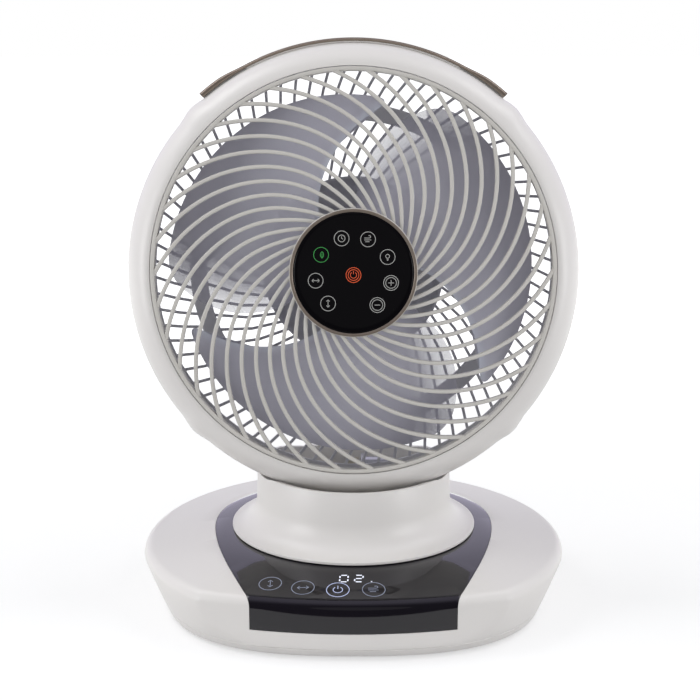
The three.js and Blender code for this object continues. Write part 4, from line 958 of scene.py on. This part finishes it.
def makeStudio():
    floorMesh = bpy.data.meshes.new("floor")
    half, front, back = studio["half"], studio["frontEdge"], studio["backEdge"]
    corners = [(-half, front, 0), (half, front, 0), (half, back, 0), (-half, back, 0)]
    floorMesh.from_pydata(corners, [], [(0, 1, 2, 3)])
    floor = bpy.data.objects.new("floor", floorMesh)
    bpy.context.scene.collection.objects.link(floor)
    material = bpy.data.materials.new("white paper floor")
    material.use_nodes = True
    tree = material.node_tree
    tree.nodes.clear()
    paper = addNode(tree, "ShaderNodeBsdfDiffuse", inputs={"Color": hexColour(studio["paper"])})
    # The far floor is as white as the room behind it; nearer, it is left to show the shadow.
    place = addNode(tree, "ShaderNodeTexCoord")
    away = addNode(tree, "ShaderNodeVectorMath", {"operation": "LENGTH"}, {0: place.outputs["Object"]})
    rising = addNode(tree, "ShaderNodeMapRange", {"interpolation_type": "SMOOTHSTEP"}, {
        "Value": away.outputs["Value"], "From Min": studio["near"], "From Max": studio["far"],
        "To Min": studio["glow"], "To Max": studio["farGlow"]})
    glow = addNode(tree, "ShaderNodeEmission", inputs={"Color": (1, 1, 1, 1), "Strength": rising.outputs[0]})
    path = addNode(tree, "ShaderNodeLightPath")
    seen = addNode(tree, "ShaderNodeMath", {"operation": "MAXIMUM"}, {
        0: path.outputs["Is Camera Ray"], 1: path.outputs["Is Glossy Ray"]})
    both = addNode(tree, "ShaderNodeAddShader", inputs={0: paper.outputs[0], 1: glow.outputs[0]})
    mixed = addNode(tree, "ShaderNodeMixShader", inputs={
        0: seen.outputs[0], 1: paper.outputs[0], 2: both.outputs[0]})
    addNode(tree, "ShaderNodeOutputMaterial", inputs={"Surface": mixed.outputs[0]})
    floorMesh.materials.append(material)

    world = bpy.data.worlds.new("studio")
    bpy.context.scene.world = world
    world.use_nodes = True
    tree = world.node_tree
    tree.nodes.clear()
    path = addNode(tree, "ShaderNodeLightPath")
    mirrored = addNode(tree, "ShaderNodeMath", {"operation": "MAXIMUM"}, {
        0: path.outputs["Is Glossy Ray"], 1: path.outputs["Is Transmission Ray"]})
    # A dark side of the room in front keeps the gloss black where it faces the viewer.
    towards = addNode(tree, "ShaderNodeTexCoord")
    split = addNode(tree, "ShaderNodeSeparateXYZ", inputs={0: towards.outputs["Generated"]})
    side = addNode(tree, "ShaderNodeMapRange", {"interpolation_type": "SMOOTHSTEP"}, {
        "Value": split.outputs["Y"], "From Min": -0.8, "From Max": -0.2,
        "To Min": studio["dim"], "To Max": 1.0})
    light = addNode(tree, "ShaderNodeBackground", inputs={
        "Color": hexColour(studio["sky"]), "Strength": studio["world"]})
    mirror = addNode(tree, "ShaderNodeBackground", inputs={
        "Color": hexColour(studio["seen"]), "Strength": side.outputs[0]})
    white = addNode(tree, "ShaderNodeBackground", inputs={"Color": (1, 1, 1, 1), "Strength": 1.0})
    lit = addNode(tree, "ShaderNodeMixShader", inputs={
        0: mirrored.outputs[0], 1: light.outputs[0], 2: mirror.outputs[0]})
    mixed = addNode(tree, "ShaderNodeMixShader", inputs={
        0: path.outputs["Is Camera Ray"], 1: lit.outputs[0], 2: white.outputs[0]})
    addNode(tree, "ShaderNodeOutputWorld", inputs={"Surface": mixed.outputs[0]})

    for name, place, power in studio["lamps"]:
        lamp = bpy.data.lights.new(name, "AREA")
        lamp.shape = "DISK"
        lamp.size = studio["lampSize"]
        lamp.energy = power
        holder = bpy.data.objects.new(name, lamp)
        holder.location = place
        aim = Vector((0, 0, studio["aim"])) - Vector(place)
        holder.rotation_euler = aim.to_track_quat("-Z", "Y").to_euler()
        bpy.context.scene.collection.objects.link(holder)
    bpy.context.scene.view_settings.view_transform = "Standard"


def makeCamera():
    lens = bpy.data.cameras.new("camera")
    lens.sensor_width = camera["sensor"]
    lens.lens = camera["focus"] / camera["image"] * camera["sensor"]
    lens.shift_x = camera["shift"]
    lens.clip_end = 50
    eye = bpy.data.objects.new("camera", lens)
    eye.location = (0, -camera["away"] + layout["swivelY"] * 0.001, camera["height"])
    eye.rotation_euler = (math.radians(90 - camera["down"]), 0, 0)
    bpy.context.scene.collection.objects.link(eye)
    bpy.context.scene.camera = eye


makeStudio()
makeCamera()
print("studio made")
